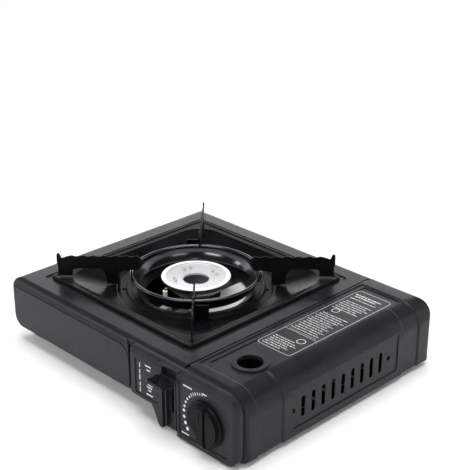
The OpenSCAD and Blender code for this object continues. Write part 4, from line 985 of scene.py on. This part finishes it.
def build_knob():
    """The knob: a flat disc, its grip filled out on the right, the hub, a groove, the spark notch and the pointer."""
    r = KNOB_RADIUS
    y = KNOB_BACK
    disc = [(BORE_R, y), (r, y), (r, y - 1.2), (r - 0.5, y - 1.9), (r - 1.6, y - 2.8), (r - 6, y - 3.2), (8, y - 3.0),
            (BORE_R, y - 3.0)]
    knob = turned("gas_knob_moulding", disc, 96, KNOB_AXIS, "y")
    grip = knob_bar("grip", KNOB_FRONT, r - 1, 4.5, -GRIP_HALF, GRIP_HALF)
    add(grip, knob_bar("cheek", KNOB_FRONT + 1.4, 19.5, 5, 1, 20))
    cut(grip, block("grip_line", (KNOB_X + GRIP_HALF, KNOB_FRONT - 1, KNOB_Z - 15),
                    (KNOB_X + GRIP_HALF + 1.4, KNOB_FRONT + 3.2, KNOB_Z + 15)))
    tidy(grip)
    round_edges(grip, 0.0006, 30, 3)
    hub = [(BORE_R, y - 0.5), (7, y - 0.5), (7, -2.6), (BORE_R, -2.6)]
    add(knob, grip, turned("hub", hub, 48, KNOB_AXIS, "y"))
    fan = [(KNOB_X, KNOB_Z), (KNOB_X - 40, KNOB_Z - 17), (KNOB_X - 40, KNOB_Z - 40), (KNOB_X - 6, KNOB_Z - 40)]
    notch = prism("spark_notch", fan, "y", y - 4, y + 1)
    cut(notch, rod("notch_core", "y", KNOB_X, KNOB_Z, 16.5, y - 5, y + 2, 64),
        block("notch_grip", (KNOB_X - GRIP_HALF - 1.5, y - 5, KNOB_Z - 30), (KNOB_X + GRIP_HALF + 1.5, y + 2, KNOB_Z)))
    cut(knob, prism("groove", slot_outline(KNOB_X - GRIP_HALF - 2, KNOB_Z, 4, r * 1.35), "y", y - 4, y - 1.6), notch,
        block("pointer", (KNOB_X - 0.6, KNOB_FRONT - 1, KNOB_Z + 5), (KNOB_X + 0.6, KNOB_FRONT + 0.5, KNOB_Z + r - 7)))
    round_edges(knob, 0.00035, 35, 2)
    finish_piece(knob, "knob", "black_plastic", ["gas_knob"], "control_plastic")


def build_handle(sizes):
    """The handle: lens-shaped from the front, with the slot that holds the lever's end."""
    z = HANDLE_Z
    y0 = PANEL_FRONT
    side = [(y0 - 4.2, z - 6), (y0 - 2, z + 6), (y0 - 8, z + 6), (y0 - 14, z + 2), (y0 - 13, z - 3), (y0 - 7, z - 7)]
    handle = prism("lever_handle_moulding", side, "x", SLOT_X - 16, SLOT_X + 7)
    face = [(SLOT_X - 16, z), (SLOT_X - 14, z + 3.4), (SLOT_X - 9, z + 5.4), (SLOT_X - 3, z + 5.2),
            (SLOT_X + 2.5, z + 3), (SLOT_X + 7, z - 0.4), (SLOT_X + 2.5, z - 4.4), (SLOT_X - 3, z - 6),
            (SLOT_X - 10, z - 5.8), (SLOT_X - 14.6, z - 3.4)]
    keep(handle, prism("handle_face", face, "y", -40, 0))
    tidy(handle)
    round_edges(handle, sizes.moulded, 20, 3)
    aside = (LEVER_END - LEVER_PIN).orthogonal().normalized() * 3.1
    stem = [tuple(p) for p in (LEVER_PIN + aside, LEVER_END + aside, LEVER_END - aside, LEVER_PIN - aside)]
    cut(handle, prism("stem_slot", stem, "x", SLOT_X - 1.6, SLOT_X + 1.6))
    finish_piece(handle, "lever", "black_plastic", ["lever_handle"], "control_plastic")


# ---- printed marks ----

def ink_box(low, high):
    """In edit mode: one printed bar between two corners in millimetres."""
    a, b = at(*low), at(*high)
    bpy.ops.mesh.primitive_cube_add(size=1, location=(a + b) / 2, scale=[abs(c) for c in b - a])


def ink_frame(name, outline, level, lift, line):
    """A thin printed line round a level outline."""
    ring = prism(name, outline, "z", level, level + lift)
    pick(ring, lambda p, n: abs(n.z) > 0.9)
    bpy.ops.mesh.inset(thickness=line * MM, use_even_offset=True)
    bpy.ops.mesh.bridge_edge_loops()
    close_edit()
    return ring


WORDS = (3.2, 1.6, 4.4, 2.2, 3.8, 1.2, 5.0, 2.8)


def word_row(y, start, end, first, tall, level, lift):
    """In edit mode: a row of short plain bars, as long as words are."""
    x, i = start, first
    while x < end:
        stop = min(x + WORDS[i % len(WORDS)], end)
        ink_box((x, y, level), (stop, y + tall, level + lift))
        x, i = stop + 0.9, i + 1


def build_lid_print(sizes):
    """A plain framed field with rows of word-long bars and two rings, in place of the label."""
    level = TOP - LID_DROP - FIELD_DEPTH
    lift = sizes.ink / MM
    left, right, front, back = 274.0, 316.0, 85.0, 238.0
    frame_line = ink_frame("lid_print_frame", rounded((left, front), (right, back), [4] * 4, 5), level, lift, 0.45)
    finish_piece(frame_line, "lid", "coated_steel", look="white_ink")
    rows = start_piece("lid_print_rows")
    ink_box((left + 0.3, 124.6, level), (right - 0.3, 125.0, level + lift))
    ink_box((left + 4, 127.0, level), (right - 4, 127.3, level + lift))
    for i in range(25):
        tall = 1.7 if i in (23, 24) else 1.0
        if i not in (12, 13, 14, 21):
            word_row(130.5 + i * 4.0 + (i // 23) * 1.5, left + 3 + i % 3, right - 4 - (i * 5) % 9, i, tall, level, lift)
    for i in range(6):
        word_row(89 + i * 3.6, left + 4, right - 16 + (i * 7) % 11, i + 3, 1.0, level, lift)
    close_edit()
    for place, radius in (((left + 12, 186), 4.2), ((right - 11, 114), 4.6)):
        side = rectangle((radius - 0.7, level), (radius, level + lift))
        finish_piece(turned("lid_print_ring", side, 48, (*place, 0)), "lid", "coated_steel", look="white_ink")
    finish_piece(rows, "lid", "coated_steel", look="white_ink")


MARK_TALL = 1.3
DIAL_CENTRE = (302.4, 32.2)
DIAL_R = 28.5
# Turn in degrees and radius of each dot, then left end, right end and height of each bar.
DOTS = ((213, 1.5), (201, 1.4), (188.5, 1.3), (175.5, 1.2), (165.5, 1.1), (155, 1.0), (145.5, 0.95), (136.5, 0.9))
DIAL_BARS = ((273.5, 285, 60.2), (298, 304, 61.6), (270.5, 280.5, 9.5))
LEVER_BARS = ((221, 229, 58.5), (223, 228, 54.4), (222, 229.5, 42.2), (224, 231, 39.4), (223, 230, 36.4),
              (224.5, 229, 33.2), (222, 231, 28.4))
LEVER_DASHES = (5.2, 3.8, 5.4, 4.4, 5.0)


def on_dial(angle, radius, y):
    """World place on a circle of the dial."""
    return at(DIAL_CENTRE[0] + radius * math.cos(angle), y, DIAL_CENTRE[1] + radius * math.sin(angle))


def build_panel_print(sizes):
    """Dial marks: dots that shrink as the dial turns, then short ticks; plain bars stand for the words."""
    lift = sizes.ink / MM
    y = PANEL_FRONT + PRINT_DEPTH
    marks = start_piece("dial_print")
    for turn, radius in DOTS:
        place = on_dial(math.radians(turn), DIAL_R, y - lift / 2)
        bpy.ops.mesh.primitive_cylinder_add(vertices=24, radius=radius * 1.25 * MM, depth=lift * MM, location=place,
                                            rotation=(math.pi / 2, 0, 0))
    for i in range(6):
        angle = math.radians(129 - i * 6.2)
        bpy.ops.mesh.primitive_cube_add(size=1, location=on_dial(angle, DIAL_R + 0.4, y - lift / 2),
                                        rotation=(0, -angle, 0), scale=((3.6 - 0.3 * i) * MM, lift * MM, 0.9 * MM))
    for x0, x1, z in DIAL_BARS:
        ink_box((x0, y - lift, z), (x1, y, z + MARK_TALL))
    close_edit()
    finish_piece(marks, "stove_body", "black_plastic", look="white_ink")
    side = start_piece("lever_print")
    for i, tall in enumerate(LEVER_DASHES):
        z = 27.5 + i * 6.6
        ink_box((LABEL_X[0] + 5.6, y - lift, z), (LABEL_X[0] + 6.6, y, z + tall))
    for x0, x1, z in LEVER_BARS:
        ink_box((x0, y - lift, z), (x1, y, z + MARK_TALL))
    close_edit()
    finish_piece(side, "stove_body", "black_plastic", look="white_ink")


# ---- pieces kept from the frame ----

def finish_nodes():
    """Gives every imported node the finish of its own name, if there is one, or else its slot's."""
    for part in frame["record"]["subparts"]:
        node = frame["nodes"][part["node"]]
        material = FINISHES.get(part["node"]) or FINISHES[part["material_slot"]]
        if not node.material_slots:
            node.data.materials.append(material)
        for slot in node.material_slots:
            slot.material = material


# ---- stage ----

CAMERA_AT = Vector((0.7617, -0.7232, 0.5937))
CAMERA_BACK = Vector((0.6534, -0.6408, 0.4031))
CAMERA_ROLL = 0.07
CAMERA_LENS = 87.59
CAMERA_SHIFT = (0.0153, 0.0083)
FLOOR_R = 4.0
BACKDROP_RISE = 27
BACKDROP_GLOW = (1.7, 0.30)
STRIP_REACH = 1.62
# Name, turn in degrees round the stove and power of the two low strips.
STRIPS = (("left_strip", -79.4, 8), ("right_strip", -9.4, 3))
WORLD_LIGHT = {"Color": (0.92, 0.95, 1.0, 1), "Strength": 0.05}


def lamp(name, place, target, size, power, height=None):
    """A soft light that looks at a point, square or with a height of its own."""
    bpy.ops.object.light_add(type="AREA", location=place)
    light = bpy.context.active_object
    light.name = name
    light.data.size = size
    if height:
        light.data.shape = "RECTANGLE"
        light.data.size_y = height
    light.data.energy = power
    light.rotation_euler = (Vector(target) - Vector(place)).to_track_quat("-Z", "Y").to_euler()


def paper(name, value, glow, near_glow=None):
    """Matt white paper, with some light of its own, which may be weaker on the camera's side."""
    material, shader, place = blank_finish(name, 0.0, 0.1, Roughness=0.9, Emission_Color=WHITE, Emission_Strength=glow)
    vary_colour(material, shader, noise(material, place, 2.0), shade(value, 0.99), value)
    if near_glow is not None:
        away = add_node(material, "VectorMath", place)
        away.operation = "DOT_PRODUCT"
        away.inputs[1].default_value = (-CAMERA_BACK.x, -CAMERA_BACK.y, 0)
        spread = add_node(material, "MapRange", away.outputs["Value"], From_Min=0.2, From_Max=2.6, To_Min=near_glow,
                          To_Max=glow)
        spread.interpolation_type = "SMOOTHSTEP"
        material.node_tree.links.new(spread.outputs["Result"], shader.inputs["Emission Strength"])
    return material


def build_stage(colours):
    """The floor with its backdrop, the lights, the world and the camera."""
    scene = bpy.context.scene
    bpy.ops.mesh.primitive_circle_add(vertices=96, radius=FLOOR_R, fill_type="NGON", location=(0, 0, 0))
    floor = bpy.context.active_object
    floor.name = "floor_paper"
    floor.data.materials.append(paper("floor_paper", colours.floor, 0.0))

    sweep = start_piece("backdrop_sweep")
    wall = [(FLOOR_R - 0.02, -0.002), (FLOOR_R + 0.5, 0.05), (FLOOR_R + 0.9, 0.25), (FLOOR_R + 1.1, 0.6),
            (FLOOR_R + 1.15, (FLOOR_R + 1.15) * math.tan(math.radians(BACKDROP_RISE)))]
    draw_line([Vector((reach, 0, height)) for reach, height in wall])
    bpy.ops.mesh.spin(steps=96, angle=math.tau, center=(0, 0, 0), axis=(0, 0, 1))
    face_out()
    close_edit()
    take(sweep)
    bpy.ops.object.shade_smooth()
    sweep.data.materials.append(paper("backdrop_paper", colours.floor, *BACKDROP_GLOW))

    lamp("top_softbox", (0.0, 0.1, 2.6), (0, 0, 0), 2.2, 72)
    lamp("front_left_softbox", (-1.43, -1.23, 1.12), (0, 0, 0.07), 0.4, 3)
    for name, turn, power in STRIPS:
        away = Vector((math.cos(math.radians(turn)), math.sin(math.radians(turn)))) * STRIP_REACH
        lamp(name, (away.x, away.y, 1.18), (0, 0, 0.07), 0.9, power, 0.25)
    scene.world = bpy.data.worlds.new("studio")
    scene.world.use_nodes = True
    set_values(scene.world.node_tree.nodes["Background"], WORLD_LIGHT)

    back = CAMERA_BACK.normalized()
    right = Vector((0, 0, 1)).cross(back).normalized()
    up = back.cross(right)
    turn = Matrix((right, up, back)).transposed().to_4x4()
    bpy.ops.object.camera_add()
    camera = bpy.context.active_object
    camera.matrix_world = Matrix.Translation(CAMERA_AT) @ turn @ Matrix.Rotation(math.radians(CAMERA_ROLL), 4, "Z")
    camera.data.lens = CAMERA_LENS
    camera.data.sensor_width = 36
    camera.data.shift_x, camera.data.shift_y = CAMERA_SHIFT
    camera.data.clip_start = 0.01
    scene.camera = camera
    scene.view_settings.view_transform = "Standard"


# ---- operators ----

class STOVE_OT_top_shell(bpy.types.Operator):
    """Presses the casing with its tray recess and back vents"""
    bl_idname = "stove.top_shell"
    bl_label = "Top Shell"

    def execute(self, context):
        build_top_shell(context.scene.stove_sizes)
        return {"FINISHED"}


class STOVE_OT_drip_tray(bpy.types.Operator):
    """Presses the enamelled drip tray"""
    bl_idname = "stove.drip_tray"
    bl_label = "Drip Tray"

    def execute(self, context):
        build_drip_tray(context.scene.stove_sizes)
        return {"FINISHED"}


class STOVE_OT_pan_support(bpy.types.Operator):
    """Makes the ring and the four arms of the pan support"""
    bl_idname = "stove.pan_support"
    bl_label = "Pan Support"

    def execute(self, context):
        build_arms(context.scene.stove_sizes)
        build_ring(context.scene.stove_sizes)
        return {"FINISHED"}


class STOVE_OT_burner(bpy.types.Operator):
    """Turns the burner head and cuts its flame ports"""
    bl_idname = "stove.burner"
    bl_label = "Burner"

    def execute(self, context):
        build_burner(context.scene.stove_sizes)
        return {"FINISHED"}


class STOVE_OT_cartridge_lid(bpy.types.Operator):
    """Presses the hinged lid with its beads, sight hole and vents"""
    bl_idname = "stove.cartridge_lid"
    bl_label = "Cartridge Lid"

    def execute(self, context):
        build_lid(context.scene.stove_sizes)
        return {"FINISHED"}


class STOVE_OT_control_panel(bpy.types.Operator):
    """Moulds the control panel"""
    bl_idname = "stove.control_panel"
    bl_label = "Control Panel"

    def execute(self, context):
        build_panel(context.scene.stove_sizes)
        return {"FINISHED"}


class STOVE_OT_controls(bpy.types.Operator):
    """Moulds the gas knob and the lever's handle"""
    bl_idname = "stove.controls"
    bl_label = "Knob and Handle"

    def execute(self, context):
        build_knob()
        build_handle(context.scene.stove_sizes)
        return {"FINISHED"}


class STOVE_OT_print(bpy.types.Operator):
    """Prints plain marks on the lid and the panel"""
    bl_idname = "stove.print"
    bl_label = "Printed Marks"

    def execute(self, context):
        build_lid_print(context.scene.stove_sizes)
        build_panel_print(context.scene.stove_sizes)
        return {"FINISHED"}


class STOVE_OT_inner_pieces(bpy.types.Operator):
    """Gives the frame's own pieces their finishes"""
    bl_idname = "stove.inner_pieces"
    bl_label = "Inner Pieces"

    def execute(self, context):
        finish_nodes()
        return {"FINISHED"}


class STOVE_OT_stage(bpy.types.Operator):
    """Sets the floor, the lights and the camera"""
    bl_idname = "stove.stage"
    bl_label = "Stage"

    def execute(self, context):
        build_stage(context.scene.stove_colours)
        return {"FINISHED"}


class STOVE_PT_panel(bpy.types.Panel):
    """Lists the steps that build the stove"""
    bl_idname = "STOVE_PT_panel"
    bl_label = "Cassette Stove"
    bl_space_type = "VIEW_3D"
    bl_region_type = "UI"
    bl_category = "Stove"

    def draw(self, context):
        for step in STEPS:
            self.layout.operator(step.bl_idname)
        for group in (context.scene.stove_sizes, context.scene.stove_colours):
            box = self.layout.box()
            for key in group.__annotations__:
                box.prop(group, key)


STEPS = (STOVE_OT_stage, STOVE_OT_inner_pieces, STOVE_OT_top_shell, STOVE_OT_drip_tray, STOVE_OT_pan_support,
         STOVE_OT_burner, STOVE_OT_cartridge_lid, STOVE_OT_control_panel, STOVE_OT_controls, STOVE_OT_print)
CLASSES = (StoveSizes, StoveColours) + STEPS + (STOVE_PT_panel,)


def register():
    """Makes the classes known to Blender and hangs the settings on the scene."""
    for cls in CLASSES:
        bpy.utils.register_class(cls)
    bpy.types.Scene.stove_sizes = PointerProperty(type=StoveSizes)
    bpy.types.Scene.stove_colours = PointerProperty(type=StoveColours)


def unregister():
    """Takes away what register has made."""
    del bpy.types.Scene.stove_sizes
    del bpy.types.Scene.stove_colours
    for cls in reversed(CLASSES):
        bpy.utils.unregister_class(cls)


def main():
    """Builds the whole stove."""
    register()
    bpy.ops.object.select_all(action="DESELECT")
    make_finishes(bpy.context.scene.stove_colours)
    bpy.ops.stove.stage()
    bpy.ops.stove.inner_pieces()
    bpy.ops.stove.top_shell()
    bpy.ops.stove.drip_tray()
    bpy.ops.stove.pan_support()
    bpy.ops.stove.burner()
    bpy.ops.stove.cartridge_lid()
    bpy.ops.stove.control_panel()
    bpy.ops.stove.controls()
    bpy.ops.stove.print()


if __name__ == "__main__":
    main()
